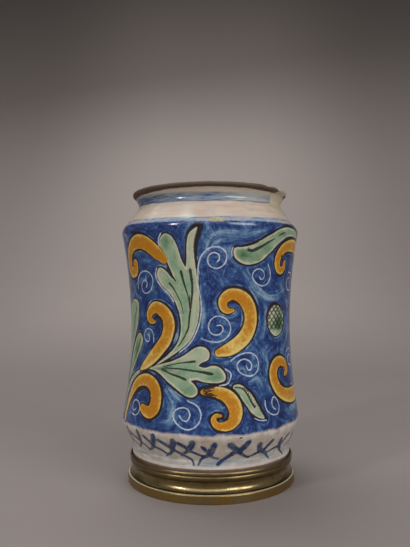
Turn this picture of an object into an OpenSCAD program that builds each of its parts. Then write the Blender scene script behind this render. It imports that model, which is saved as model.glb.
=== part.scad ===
// Waisted drug jar of thrown, tin-glazed earthenware, standing in a turned brass stand.
// The stand is a collar with a gallery for the jar's foot, sunk into a flat plinth ring.
// The jar lifts straight up out of the gallery. The origin is on the axis, on the table.

/* [Jar] */
// Height of the jar from the underside of its foot to the top of its rim
jar_h = 220.4; // [190:0.1:260]
// Thickness of the thrown wall
wall = 5.5; // [4:0.25:7]
// Thickness of the floor above the hollow under the foot
floor_t = 7.5; // [5:0.5:12]
// Width of the rounded corner between the inside of the wall and the floor
corner_w = 16; // [8:1:20]
// How far that corner bulges beyond a straight slope
corner_bulge = 3.2; // [2:0.2:4]

/* [Rim and neck] */
// How far the rim stands out beyond the neck
rim_out = 5.2; // [2:0.1:6]
// Height of the upright edge of the rim
rim_edge_h = 3; // [2:0.25:5]
// Radius that softens both edges of the rim
rim_round = 1.1; // [0.5:0.1:1.5]
// Outside diameter of the neck, where a cover is tied on
neck_d = 122.2; // [116:0.2:124]
// Distance from the rim down to the narrowest line of the neck
neck_drop = 10.6; // [10:0.2:18]
// Radius of the cove between the neck and the shoulder
cove_round = 7; // [4:0.5:9]

/* [Body] */
// Outside diameter of the shoulder
shoulder_d = 150.4; // [142:0.2:160]
// Distance from the rim down to the widest line of the shoulder
shoulder_drop = 34.2; // [30:0.2:42]
// Radius of the shoulder
shoulder_round = 8.5; // [7.5:0.5:12]
// Outside diameter of the waist
waist_d = 135.6; // [124:0.2:142]
// Outside diameter of the heel, the edge above the foot
heel_d = 149.6; // [142:0.2:160]
// Height of the widest line of the heel above the underside of the foot
heel_h = 31.4; // [24:0.2:36]
// Radius of the heel
heel_round = 8; // [6:0.2:10]

/* [Foot] */
// Outside diameter of the foot
foot_d = 132; // [124:0.2:138]
// Radius of the lower edge of the foot
foot_round = 1; // [0.5:0.1:2]
// How far the foot bulges beyond its two ends
foot_bulge = 0.5; // [0.2:0.1:0.8]
// Depth of the narrow line above the foot, measured from the foot's side
ankle_inset = 0.5; // [0.2:0.1:1.5]
// Height of that line above the underside of the foot
ankle_h = 11.5; // [9:0.5:14]
// Depth of the hollow turned under the foot
recess_h = 2.5; // [1:0.25:4]
// Width of the flat ring that the jar stands on
foot_ring_w = 9.5; // [6:0.5:12]

/* [Stand collar] */
// Gap between the jar's foot and the gallery around it
foot_clear = 0.9; // [0.5:0.1:1.5]
// Depth of the gallery above the ledge
gallery_h = 4.4; // [4:0.1:6]
// Width of the ledge under the jar
ledge_w = 10.5; // [8:0.5:13]
// Thickness of the ledge
ledge_t = 3; // [2:0.25:5]
// Thickness of the lip around the gallery
lip_t = 1.4; // [1:0.1:3]
// Height of the rolled edge of the lip
lip_roll_h = 3.4; // [3:0.1:5]
// Share of the lip's thickness that its roll takes up
lip_roll_share = 0.5; // [0.4:0.05:0.65]
// Height of the narrow bead under the lip
band_h = 2.9; // [2:0.1:4]
// How far that bead lies behind the side of the lip
band_inset = 0.3; // [0.2:0.1:0.5]
// How far the bead bulges beyond its two ends
band_bulge = 0.4; // [0.2:0.1:0.5]
// Depth of the hollow moulding below the bead, measured from the lip's side
scotia_depth = 3.2; // [1.6:0.1:3.5]
// Height of the hollow moulding
scotia_h = 9; // [8:0.1:12]
// Width of the sharp edges above and below the hollow moulding
scotia_edge = 0.4; // [0.2:0.1:0.6]
// Height of the narrow fillet at the foot of the collar
fillet_h = 0.8; // [0.5:0.1:2]
// How far that fillet stands out beyond the lip
fillet_out = 0.2; // [0:0.1:1]
// Thickness of the brass between the hollow moulding and the spigot's side
collar_wall = 3.4; // [2.5:0.1:5]
// Thickness of the spigot that locates the collar in the plinth
spigot_t = 3; // [2:0.25:4]
// Length of the spigot
spigot_h = 4; // [2:0.25:5]

/* [Stand plinth] */
// Height of the plinth ring
plinth_h = 6.2; // [5.5:0.1:10]
// How far the plinth stands out beyond the fillet above it
plinth_out = 1.4; // [0.8:0.1:3]
// Radius of the plinth's upper edge
plinth_round = 0.7; // [0.3:0.1:1]
// Width of the brass left beside the groove for the base ring
groove_wall = 1.7; // [1.2:0.1:2.2]
// Gap around the spigot, filled when the two rings are soldered
solder_gap = 0.05; // [0.02:0.01:0.2]

/* [Cork rings] */
// Thickness of the ring under the jar
seat_t = 1.2; // [0.8:0.1:2]
// Width of the ring under the jar
seat_w = 8.5; // [6:0.5:9]
// Thickness of the ring under the plinth
base_t = 2; // [1.5:0.1:3]
// How far the ring under the plinth stands below the brass
base_proud = 0.4; // [0.2:0.1:1]
// Gap beside each cork ring
cork_clear = 0.25; // [0.1:0.05:0.4]

/* [Hidden] */
$fn = 128;

// Straight pieces in a small round and in a long sweep
round_steps = 8;
sweep_steps = 24;
// Slope of the shoulder, and how far the wall leans where it meets the shoulder and the heel
shoulder_slope = 40;
wall_lean = 9;
// Direction in which the underside of the heel faces
heel_under = -27;

neck_r = neck_d / 2;
rim_r = neck_r + rim_out;
shoulder_r = shoulder_d / 2;
waist_r = waist_d / 2;
heel_r = heel_d / 2;
foot_r = foot_d / 2;
mouth_r = neck_r - wall;
recess_r = foot_r - foot_round - foot_ring_w - recess_h;
neck_h = jar_h - neck_drop;
shoulder_h = jar_h - shoulder_drop;
floor_h = recess_h + floor_t;

gallery_r = foot_r + foot_clear;
lip_r = gallery_r + lip_t;
scotia_r = lip_r - scotia_depth;
band_r = lip_r - band_inset - band_bulge;
fillet_r = lip_r + fillet_out;
plinth_r = fillet_r + plinth_out;
ledge_r = gallery_r - ledge_w;
spigot_r = scotia_r - collar_wall;
relief_r = spigot_r - spigot_t;
groove_in_r = spigot_r + solder_gap + groove_wall;
groove_out_r = plinth_r - groove_wall;

plinth_z = base_proud;
collar_z = plinth_z + plinth_h;
scotia_z = collar_z + fillet_h;
band_z = scotia_z + scotia_h;
roll_z = band_z + band_h;
lip_z = roll_z + lip_roll_h;
ledge_z = lip_z - gallery_h;
jar_z = ledge_z + seat_t;

// Points of a round stretch about a centre
function arc(centre, r, from, to, steps = round_steps) =
    [for (i = [0:steps]) let (a = from + (to - from) * i / steps) centre + r * [cos(a), sin(a)]];

// Points of a circular sweep between two points, standing off their chord to the left by rise
function bow(p, q, rise, steps = sweep_steps) =
    let (
        chord = norm(q - p),
        along = (q - p) / chord,
        across = [-along.y, along.x],
        r = (chord * chord / 4 + rise * rise) / (2 * rise),
        centre = (p + q) / 2 + across * (rise - r),
        half = asin(chord / (2 * abs(r)))
    )
    [for (i = [0:steps]) let (a = half * (2 * i / steps - 1))
        centre + across * r * cos(a) + along * abs(r) * sin(a)];

// Rise of a sweep that passes a given radius halfway between its ends
function waist_rise(p, q, r) = (p.x + q.x) / 2 - r;

function last(points) = points[len(points) - 1];

// Half the jar's section, around the outside from the underside to the rim
function jar_outside() =
    let (
        heel = arc([heel_r - heel_round, heel_h], heel_round, heel_under, wall_lean),
        shoulder = arc(
            [shoulder_r - shoulder_round, shoulder_h], shoulder_round, -wall_lean, shoulder_slope
        ),
        ankle = [foot_r - ankle_inset, ankle_h],
        neck = [neck_r, neck_h]
    )
    concat(
        [[0, recess_h], [recess_r, recess_h], [recess_r + recess_h, 0]],
        arc([foot_r - foot_round, foot_round], foot_round, -90, 0),
        bow([foot_r, foot_round], ankle, -foot_bulge, round_steps),
        heel,
        bow(last(heel), shoulder[0], waist_rise(last(heel), shoulder[0], waist_r)),
        shoulder,
        arc([neck_r + cove_round, neck_h], cove_round, 180 + shoulder_slope, 180),
        bow(neck, [rim_r - rim_round / 2, jar_h - rim_edge_h], rim_round / 2, round_steps),
        [[rim_r, jar_h - rim_edge_h + rim_round / 2]],
        arc([rim_r - rim_round, jar_h - rim_round], rim_round, 0, 90)
    );

// The same section around the inside, from the rim to the floor
function jar_inside() =
    let (
        shoulder = arc(
            [shoulder_r - shoulder_round, shoulder_h],
            shoulder_round - wall, shoulder_slope, -wall_lean
        ),
        heel = [heel_r - heel_round + (heel_round - wall) * cos(wall_lean), heel_h],
        corner = [heel.x - corner_w, floor_h]
    )
    concat(
        arc([mouth_r + rim_round, jar_h - rim_round], rim_round, 90, 180),
        arc([neck_r + cove_round, neck_h], cove_round + wall, 180, 180 + shoulder_slope),
        shoulder,
        bow(last(shoulder), heel, -waist_rise(last(shoulder), heel, waist_r - wall)),
        bow(heel, corner, corner_bulge, round_steps),
        [[0, floor_h]]
    );

// Half the collar's section, around the outside and back down the inside
function collar_section() =
    let (
        roll = lip_t * lip_roll_share,
        bevel = (lip_t - roll) / 2,
        scotia_foot = [fillet_r - scotia_edge, scotia_z],
        scotia_head = [band_r - scotia_edge, band_z]
    )
    concat(
        [
            [relief_r, collar_z - spigot_h],
            [spigot_r, collar_z - spigot_h],
            [spigot_r, collar_z],
            [fillet_r, collar_z],
            [fillet_r, scotia_z]
        ],
        bow(scotia_foot, scotia_head, waist_rise(scotia_foot, scotia_head, scotia_r)),
        bow([band_r, band_z], [band_r, roll_z], -band_bulge, round_steps),
        bow([lip_r - roll, roll_z], [lip_r - roll, lip_z], -roll, 2 * round_steps),
        [
            [gallery_r + bevel, lip_z],
            [gallery_r, lip_z - bevel],
            [gallery_r, ledge_z],
            [ledge_r, ledge_z],
            [ledge_r, ledge_z - ledge_t],
            [relief_r, ledge_z - ledge_t]
        ]
    );

// Half the plinth's section, with the groove for the base ring underneath
function plinth_section() =
    let (bore_r = spigot_r + solder_gap, roof_z = base_t)
    concat(
        [
            [bore_r, plinth_z],
            [groove_in_r, plinth_z],
            [groove_in_r, roof_z],
            [groove_out_r, roof_z],
            [groove_out_r, plinth_z],
            [plinth_r, plinth_z]
        ],
        arc([plinth_r - plinth_round, collar_z - plinth_round], plinth_round, 0, 90),
        [[bore_r, collar_z]]
    );

module flat_ring(inner_r, outer_r, t) {
    rotate_extrude()
        translate([inner_r, 0])
            square([outer_r - inner_r, t]);
}

module jar() {
    color("cornflowerblue")
        translate([0, 0, jar_z])
            rotate_extrude()
                polygon(concat(jar_outside(), jar_inside()));
}

module stand_collar() {
    color("goldenrod")
        rotate_extrude()
            polygon(collar_section());
}

module stand_plinth() {
    color("darkgoldenrod")
        rotate_extrude()
            polygon(plinth_section());
}

module seat_ring() {
    color("peru")
        translate([0, 0, ledge_z])
            flat_ring(gallery_r - cork_clear - seat_w, gallery_r - cork_clear, seat_t);
}

module base_ring() {
    color("peru")
        flat_ring(groove_in_r + cork_clear, groove_out_r - cork_clear, base_t);
}

jar();
stand_collar();
stand_plinth();
seat_ring();
base_ring();
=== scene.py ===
"""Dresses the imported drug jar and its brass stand.

The jar is one thrown, tin-glazed earthenware pot. Its painting is laid out flat, in millimetres
around the jar and up from the table, as brush strokes and leaf outlines. The distances to them are
kept on the jar's mesh, and the glaze's nodes turn the distances into paint with brushed edges.
"""

from __future__ import annotations

import logging
import math
from dataclasses import dataclass, field
from enum import Enum
from typing import Any, Iterator, Sequence

import bpy
import numpy as np
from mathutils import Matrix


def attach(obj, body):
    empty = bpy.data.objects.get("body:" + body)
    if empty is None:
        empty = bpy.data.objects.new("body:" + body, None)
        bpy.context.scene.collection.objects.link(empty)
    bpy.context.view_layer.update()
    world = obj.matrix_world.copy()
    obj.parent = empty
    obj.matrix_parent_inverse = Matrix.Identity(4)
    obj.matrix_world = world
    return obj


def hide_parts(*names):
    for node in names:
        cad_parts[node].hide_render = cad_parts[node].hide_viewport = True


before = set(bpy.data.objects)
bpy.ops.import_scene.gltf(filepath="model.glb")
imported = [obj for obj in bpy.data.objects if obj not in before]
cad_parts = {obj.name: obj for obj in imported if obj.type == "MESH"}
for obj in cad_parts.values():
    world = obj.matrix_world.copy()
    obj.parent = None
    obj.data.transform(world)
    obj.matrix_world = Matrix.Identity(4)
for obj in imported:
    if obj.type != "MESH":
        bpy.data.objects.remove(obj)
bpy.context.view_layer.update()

LOG = logging.getLogger("drug_jar")

Point = tuple[float, float]
Band = tuple[float, float]
Colour = tuple[float, float, float]

MM = 0.001
# Radius at which the painting is laid out flat, and the length around the jar there
ROLL_R = 70.0
ROUND = 2 * math.pi * ROLL_R
# The painting is made twice around the jar
REPEAT = ROUND / 2
# Distance kept where no stroke is near
FAR = 40.0
# Points of a section that are closer than this meet
MEETING = 0.05
# Slack where a worked-out length is compared with a named one
SLACK = 0.01
# How far the photograph's camera was rolled, and the height that its middle looked at
CAMERA_ROLL = math.radians(0.25)
ROLL_HEIGHT = 170.0


class Body(Enum):
    """The CAD body that the scene's own piece rides on."""

    JAR = "jar"


class Slot(Enum):
    """The record's material slot for the scene's own piece."""

    GLAZE = "painted_glaze"


class Layer(Enum):
    """The painting's layers, each kept as one number on every point of the jar's mesh."""

    AROUND = "around"
    SCROLL = "scroll_edge"
    SCROLL_INK = "scroll_ink"
    TAIL = "scroll_tail"
    LEAF = "leaf_edge"
    LEAF_INK = "leaf_ink"
    DAB = "leaf_dab"
    INK_SIDE = "ink_side"
    INK_FAR = "ink_far"
    SCRATCH_SIDE = "scratch_side"
    SCRATCH_FAR = "scratch_far"
    CROSS_SIDE = "cross_side"
    CROSS_FAR = "cross_far"
    RISE = "band_rise"
    FLOW = "ground_flow"
    WASH = "ground_wash"
    NECK_BLUE = "neck_blue"
    BARE = "neck_bare"
    CHIP = "chipped"
    OUTSIDE = "outside"


# Layers of paint, which lie only on the outside and hold FAR where no stroke is near
PAINT_LAYERS = (
    Layer.SCROLL, Layer.SCROLL_INK, Layer.LEAF, Layer.LEAF_INK, Layer.INK_SIDE, Layer.INK_FAR,
    Layer.SCRATCH_SIDE, Layer.SCRATCH_FAR, Layer.CROSS_SIDE, Layer.CROSS_FAR,
)


def srgb(red: int, green: int, blue: int) -> Colour:
    """Turns a colour as a screen shows it into the linear colour that shaders take.

    Args:
        red: Red from 0 to 255.
        green: Green from 0 to 255.
        blue: Blue from 0 to 255.

    Returns:
        The linear colour.
    """

    def linear(part: int) -> float:
        """Turns one part of the colour linear."""
        share = part / 255
        return share / 12.92 if share <= 0.04045 else ((share + 0.055) / 1.055) ** 2.4

    return linear(red), linear(green), linear(blue)


# Shader graphs


class Value:
    """A node's output, which takes part in Python expressions."""

    def __init__(self, graph: Graph, socket: bpy.types.NodeSocket) -> None:
        """Wraps a socket.

        Args:
            graph: The graph that the socket's node is in.
            socket: The output socket.
        """
        self.graph = graph
        self.socket = socket

    def __add__(self, other: Value | float) -> Value:
        """Adds a number or a value."""
        return self.graph.math("ADD", self, other)

    __radd__ = __add__

    def __sub__(self, other: Value | float) -> Value:
        """Takes a number or a value away."""
        return self.graph.math("SUBTRACT", self, other)

    def __rsub__(self, other: float) -> Value:
        """Takes this value away from a number."""
        return self.graph.math("SUBTRACT", other, self)

    def __mul__(self, other: Value | float) -> Value:
        """Multiplies by a number or a value."""
        return self.graph.math("MULTIPLY", self, other)

    __rmul__ = __mul__

    def size(self) -> Value:
        """Gives the value without its sign."""
        return self.graph.math("ABSOLUTE", self, 0.0)

    def most(self, other: Value | float) -> Value:
        """Gives the larger of this and another value."""
        return self.graph.math("MAXIMUM", self, other)

    def least(self, other: Value | float) -> Value:
        """Gives the smaller of this and another value."""
        return self.graph.math("MINIMUM", self, other)

    def above(self, edge: float, soft: float) -> Value:
        """Gives 0 below an edge and 1 above it.

        Args:
            edge: Where the value changes over.
            soft: Half the width of the change.

        Returns:
            A mask from 0 to 1.
        """
        sockets = {"Value": self, "From Min": edge - soft, "From Max": edge + soft}
        return self.graph.node("ShaderNodeMapRange", {"interpolation_type": "SMOOTHSTEP"}, sockets)

    def below(self, edge: float, soft: float) -> Value:
        """Gives 1 below an edge and 0 above it.

        Args:
            edge: Where the value changes over.
            soft: Half the width of the change.

        Returns:
            A mask from 0 to 1.
        """
        return 1 - self.above(edge, soft)

    def between(self, low: float, high: float, soft: float) -> Value:
        """Gives 1 between two edges and 0 outside them.

        Args:
            low: The lower edge.
            high: The upper edge.
            soft: Half the width of the change at each edge.

        Returns:
            A mask from 0 to 1.
        """
        return self.above(low, soft) * self.below(high, soft)


class Graph:
    """The node graph of one material."""

    def __init__(self, name: str) -> None:
        """Makes an empty material.

        Args:
            name: The material's name.
        """
        self.material = bpy.data.materials.new(name)
        self.material.use_nodes = True
        self.tree = self.material.node_tree
        self.tree.nodes.clear()
        self.at = self.place()
        self.height = self.axis("Z")

    def node(
        self,
        kind: str,
        settings: dict[str, Any] | None = None,
        sockets: dict[str | int, Any] | None = None,
        output: str | int = 0,
    ) -> Value | None:
        """Adds a node.

        Args:
            kind: The node's type.
            settings: Its settings, which are set first. A ramp's stops are pairs of place and colour.
            sockets: Values or links of its input sockets, by name or number.
            output: The output that the result stands for.

        Returns:
            That output, or None for a node without outputs.
        """
        made = self.tree.nodes.new(kind)
        for name, setting in (settings or {}).items():
            if name == "stops":
                self._set_stops(made.color_ramp, setting)
            else:
                setattr(made, name, setting)
        for key, given in (sockets or {}).items():
            socket = made.inputs[key]
            if isinstance(given, Value):
                self.tree.links.new(given.socket, socket)
            else:
                socket.default_value = (*given, 1.0) if socket.type == "RGBA" else given
        return Value(self, made.outputs[output]) if made.outputs else None

    @staticmethod
    def _set_stops(ramp: bpy.types.ColorRamp, stops: Sequence[tuple[float, Colour]]) -> None:
        """Sets a ramp's stops.

        Args:
            ramp: The ramp.
            stops: Pairs of place and colour, in order.
        """
        while len(ramp.elements) < len(stops):
            ramp.elements.new(1.0)
        for element, (place, colour) in zip(ramp.elements, stops):
            element.position = place
            element.color = (*colour, 1.0)

    def vector(
        self,
        operation: str,
        first: Value,
        second: Value | Colour = (0.0, 0.0, 0.0),
        output: int | str = 0,
    ) -> Value:
        """Adds a Vector Math node.

        Args:
            operation: The node's operation.
            first: Its first vector.
            second: Its second vector.
            output: The output that the result stands for.

        Returns:
            The result.
        """
        return self.node("ShaderNodeVectorMath", {"operation": operation}, {0: first, 1: second}, output)

    def math(self, operation: str, first: Value | float, second: Value | float) -> Value:
        """Adds a Math node for an expression.

        Args:
            operation: The node's operation.
            first: Its first value.
            second: Its second value.

        Returns:
            The result.
        """
        return self.node("ShaderNodeMath", {"operation": operation}, {0: first, 1: second})

    def mix(self, share: Value | float, first: Value | Colour, second: Value | Colour) -> Value:
        """Mixes two colours.

        Args:
            share: The share of the second colour.
            first: The colour at 0.
            second: The colour at 1.

        Returns:
            The mixed colour.
        """
        settings = {"data_type": "RGBA", "clamp_factor": True}
        return self.node("ShaderNodeMix", settings, {0: share, 6: first, 7: second}, output=2)

    def lay(self, under: Value | Colour, *coats: tuple[Value, Value | Colour]) -> Value:
        """Lays coats over a colour.

        Args:
            under: The colour underneath.
            coats: Each coat's share and colour, in order.

        Returns:
            The colour on top.
        """
        for share, coat in coats:
            under = self.mix(share, under, coat)
        return under

    def ramp(self, share: Value, stops: Sequence[tuple[float, Colour]]) -> Value:
        """Looks a value up in a row of colours.

        Args:
            share: The value from 0 to 1.
            stops: Pairs of place and colour, in order.

        Returns:
            The colour.
        """
        return self.node("ShaderNodeValToRGB", {"stops": stops}, {"Fac": share})

    def layer(self, layer: Layer) -> Value:
        """Reads a layer of the painting from the mesh."""
        return self.node("ShaderNodeAttribute", {"attribute_name": layer.value}, output="Fac")

    def place(self, stretch: tuple[float, float, float] = (1.0, 1.0, 1.0)) -> Value:
        """Gives a point's place on the piece, in millimetres.

        Args:
            stretch: Factors on the three directions, small where a pattern is long.

        Returns:
            The place as a vector.
        """
        at = self.node("ShaderNodeTexCoord", output="Object")
        factors = tuple(part / MM for part in stretch)
        return self.vector("MULTIPLY", at, factors)

    def axis(self, name: str) -> Value:
        """Gives how far along the X, Y or Z axis a point lies, in millimetres."""
        return self.node("ShaderNodeSeparateXYZ", sockets={0: self.at}, output=name)

    def noise(
        self, grain: float, detail: float = 2.0, at: Value | None = None, flow: Value | None = None
    ) -> Value:
        """Adds cloudy noise about 0.

        Args:
            grain: The size of the clouds in millimetres.
            detail: How many finer clouds are added.
            at: The place in millimetres, where it isn't the point's own.
            flow: A further coordinate in millimetres, across which the clouds are thin.

        Returns:
            Noise from about -0.5 to 0.5.
        """
        dimensions = "3D" if flow is None else "4D"
        sockets = {"Vector": at or self.at, "Scale": 1 / grain, "Detail": detail}
        if flow is not None:
            sockets["W"] = flow
        return self.node("ShaderNodeTexNoise", {"noise_dimensions": dimensions}, sockets) - 0.5

    def finish(self, relief: Value, depth: float, sockets: dict[str, Any]) -> bpy.types.Material:
        """Ends the graph with a surface shader.

        Args:
            relief: The height that the bump follows.
            depth: The height in metres that a relief of 1 stands for.
            sockets: Values or links of the surface shader's sockets.

        Returns:
            The finished material.
        """
        bump = self.node("ShaderNodeBump", sockets={"Strength": 1.0, "Distance": depth, "Height": relief})
        surface = self.node("ShaderNodeBsdfPrincipled", sockets={**sockets, "Normal": bump})
        self.node("ShaderNodeOutputMaterial", sockets={"Surface": surface})
        return self.material


# Lines on the laid-out wall


def smooth_line(points: Sequence[Point], closed: bool = False, per_span: int = 7) -> np.ndarray:
    """Draws a smooth line through given points.

    Args:
        points: The points.
        closed: Whether the line runs back to its first point.
        per_span: Points made for each span.

    Returns:
        The line's points, one row each.
    """
    at = np.array(points, float)
    if closed:
        ring = np.vstack((at[-1], at, at[0], at[1]))
    else:
        ring = np.vstack((2 * at[0] - at[1], at, 2 * at[-1] - at[-2]))
    before, start, stop, after = ring[:-3], ring[1:-2], ring[2:-1], ring[3:]
    share = np.arange(per_span)[None, :, None] / per_span
    before, start, stop, after = (part[:, None, :] for part in (before, start, stop, after))
    curve = 0.5 * (
        2 * start
        + (stop - before) * share
        + (2 * before - 5 * start + 4 * stop - after) * share**2
        + (3 * start - before - 3 * stop + after) * share**3
    )
    line = curve.reshape(-1, 2)
    return np.vstack((line, at[:1])) if closed else np.vstack((line, at[-1:]))


@dataclass
class Nearest:
    """How points lie to a line."""

    distance: np.ndarray
    side: np.ndarray
    along: np.ndarray


def nearest(line: np.ndarray, at: np.ndarray) -> Nearest:
    """Finds how points lie to a line.

    Args:
        line: The line's points.
        at: The points that are asked about.

    Returns:
        Their distance, which side they are on (1 is left, -1 is right), and how far along the line
        they are from 0 to 1.
    """
    best = np.full(len(at), np.inf)
    side = np.ones(len(at))
    along = np.zeros(len(at))
    steps = np.diff(line, axis=0)
    lengths = np.linalg.norm(steps, axis=1)
    begun = np.concatenate(([0.0], np.cumsum(lengths)))
    for start, step, length, run in zip(line[:-1], steps, lengths, begun):
        if length < 1e-9:
            continue
        away = at - start
        share = np.clip(away @ step / length**2, 0, 1)
        gap = ((away - share[:, None] * step) ** 2).sum(axis=1)
        closer = gap < best
        best[closer] = gap[closer]
        turn = step[0] * away[closer, 1] - step[1] * away[closer, 0]
        side[closer] = np.where(turn < 0, -1.0, 1.0)
        along[closer] = run + share[closer] * length
    return Nearest(np.sqrt(best), side, along / begun[-1])


def inside(outline: np.ndarray, at: np.ndarray) -> np.ndarray:
    """Tells which points are inside a closed outline.

    Args:
        outline: The outline's points, the last on the first.
        at: The points that are asked about.

    Returns:
        True for each point inside.
    """
    held = np.zeros(len(at), bool)
    for (x0, y0), (x1, y1) in zip(outline[:-1], outline[1:]):
        if y0 == y1:
            continue
        spans = (y0 > at[:, 1]) != (y1 > at[:, 1])
        held ^= spans & (at[:, 0] < x0 + (at[:, 1] - y0) / (y1 - y0) * (x1 - x0))
    return held


def spread(values: Sequence[float], along: np.ndarray) -> np.ndarray:
    """Spreads values evenly along a line.

    Args:
        values: The values, from the line's start to its end.
        along: Places along the line from 0 to 1.

    Returns:
        The value at each place.
    """
    return np.interp(along, np.linspace(0, 1, len(values)), values)


@dataclass(frozen=True)
class Stroke:
    """One stroke of a brush or a point, with half its width at even steps along it."""

    path: tuple[Point, ...]
    widths: tuple[float, ...]


@dataclass(frozen=True)
class Scroll:
    """An ochre scroll from its curled head to its tail, its ink on both sides, and how pale it is."""

    path: tuple[Point, ...]
    widths: tuple[float, ...]
    ink_left: tuple[float, ...]
    ink_right: tuple[float, ...]
    pale: tuple[float, ...] = (0.0, 0.2, 0.5, 1.0)


@dataclass(frozen=True)
class Leaf:
    """A green leaf's outline, with the width of the ink around it."""

    outline: tuple[Point, ...]
    ink: float = 0.7


@dataclass(frozen=True)
class Dab:
    """A soft dab in a leaf: its middle, its reach and its strength, dark above 0 and pale below."""

    middle: Point
    reach: Point
    strength: float = 1.0


SCROLLS = (
    # Upper left, whose tail meets the great leaf
    Scroll(
        ((-70, 178.5), (-70.5, 174), (-75, 172), (-80, 173.5), (-81.5, 179), (-79.5, 185.5),
         (-75, 190.7), (-68.5, 194.3), (-60, 195.5), (-51.5, 192.8), (-43.5, 186.8), (-36, 180.5)),
        (3.6, 4.4, 4.6, 4.6, 4.4, 4.6, 5.2, 5.6, 5.5, 5.2, 4.8, 3.0),
        (0.8, 1.6, 1.8, 1.4, 1.1, 0.5, -1.2),
        (0.6, 1.1, 1.3, 1.2, 0.9, 0.3, -1.2),
        (0.0, 0.2, 0.3, 0.1, 0.0, -0.2),
    ),
    # Middle left, whose tail meets the stem
    Scroll(
        ((-48.5, 133.3), (-52.3, 134), (-54, 138), (-51.5, 142), (-46.5, 144.3), (-41, 142.6),
         (-36.2, 138.2), (-33.8, 132), (-34.4, 126), (-36.6, 120), (-41.2, 114.3), (-47.6, 107.8),
         (-54, 102.4), (-59.5, 98.4), (-64, 95.4)),
        (1.6, 3, 3.8, 4.4, 4.8, 5.2, 5.2, 5, 5, 5, 5, 4.8, 4.3, 3.2, 1.0),
        (0.5, 0.6, 0.8, 1.5, 1.7, 1.5, 1.2, 1.0, 0.8, 0.4),
        (0.5, 1.0, 1.2, 1.0, 0.8, 0.8, 0.4, 0.1, 0.1, 0.1),
    ),
    # Lower left
    Scroll(
        ((-57, 66.5), (-53, 64.8), (-48.3, 64.8), (-44.6, 68.4), (-43.8, 74), (-44.4, 80), (-47.6, 85),
         (-53.5, 87.9), (-60, 87.6), (-67, 85), (-73.5, 79.6), (-78.5, 72.6), (-82, 66), (-84, 58),
         (-83.4, 52.6)),
        (3.2, 4.4, 4.9, 5.2, 5.1, 5, 4.8, 4.4, 4, 3.8, 3.4, 2.8, 2.2, 1.8, 1.0),
        (0.5, 0.8, 1.1, 1.3, 2.2, 2.8, 2.2, 1.6, 1.2, 0.8),
        (1.0, 1.4, 1.6, 1.6, 1.4, 1.1, 0.7, 0.4, 0.3, 0.3),
        (0.0, 0.0, 0.1, 0.4, 0.6, 0.8),
    ),
    # The middle of the front
    Scroll(
        ((18, 142.3), (13.5, 142), (10.2, 145), (10.3, 150), (14.8, 153.8), (20.8, 153.5), (27.3, 150),
         (31.5, 144), (33, 137), (31.9, 129.5), (27.8, 122.5), (22, 117.5), (15, 113.5), (6.5, 110.8)),
        (1.2, 2.8, 3.6, 4.3, 5, 5.3, 5.4, 5.4, 5.5, 5.5, 5.4, 5.2, 4.6, 2.8),
        (0.3, 0.7, 1.0, 1.7, 2.2, 2.0, 1.5, 1.2, 0.8, 0.4, 0.2, 0.1),
        (0.3, 0.6, 0.9, 1.2, 1.3, 1.2, 1.0, 0.9, 0.5, 0.3, 0.2, 0.1),
        (0.0, 0.0, 0.1, 0.2, 0.4, 0.8, 1.2, 0.2),
    ),
    # Upper right
    Scroll(
        ((68.5, 180), (68, 175.5), (64, 173), (59.8, 174.5), (58.3, 179.8), (60.3, 185.6), (65, 190.2),
         (72, 192.8), (81, 193.6), (92, 192.4), (104, 188), (113, 181.5)),
        (1.6, 2.8, 3.2, 3.6, 3.8, 4.2, 4.8, 5, 5, 4.6, 3.8, 2.0),
        (0.5, 0.7, 1.3, 1.6, 1.6, 1.4, 1.2, 1.0),
        (0.5, 1.0, 1.3, 1.2, 1.0, 0.8, 0.6, 0.4),
    ),
    # Lower right
    Scroll(
        ((72, 91.5), (75.2, 94), (73.8, 98.2), (69.5, 101), (63.8, 102), (58.2, 99.8), (55, 94),
         (55.7, 87.5), (59.5, 81), (65.5, 76.8), (73, 74.6), (82, 73.8), (92, 74.5), (104, 77), (114, 81)),
        (1.8, 2.8, 3.6, 4.2, 4.5, 4.5, 4.5, 4.7, 5.2, 5.6, 5.7, 5.4, 4.8, 3.8, 2.4),
        (0.6, 0.9, 1.2, 1.3, 1.2, 1.2, 1.0, 0.7, 0.5),
        (0.7, 1.4, 1.9, 1.9, 1.5, 1.4, 1.2, 1.0, 0.8),
    ),
    # Low in the middle
    Scroll(
        ((7.5, 65.3), (4, 65.3), (2.4, 62.3), (4.5, 58.9), (8.8, 57.8), (13.6, 58.9), (17.4, 62.8),
         (18.6, 68.2), (17, 74), (12.6, 79.2), (6.2, 82), (0, 82.4), (-5.2, 82.2)),
        (1.0, 1.7, 2.3, 3.0, 3.8, 4.6, 5.1, 5.2, 5.0, 4.6, 4.0, 3.2, 1.8),
        (1.0, 1.1, 1.1, 1.2, 1.3, 1.5, 1.7, 1.5, 0.8),
        (1.2, 1.0, 0.7, 0.5, 0.9, 1.7, 2.2, 1.9, 1.2),
        (0.1, 0.0, 0.1, 0.3, 0.3, 0.2),
    ),
    # At the side, out of sight from the front
    Scroll(
        ((106, 141.5), (109.5, 144.8), (106, 148.5), (101, 146.5), (99.4, 140), (102, 133.5),
         (107, 128), (114, 123.5), (121, 117.5)),
        (1.6, 2.4, 3.2, 3.8, 4.2, 4.6, 4.6, 4.0, 2.4),
        (1.0, 1.2, 1.0, 0.8, 0.4),
        (1.0, 1.5, 1.6, 1.2, 0.8),
    ),
)

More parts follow.
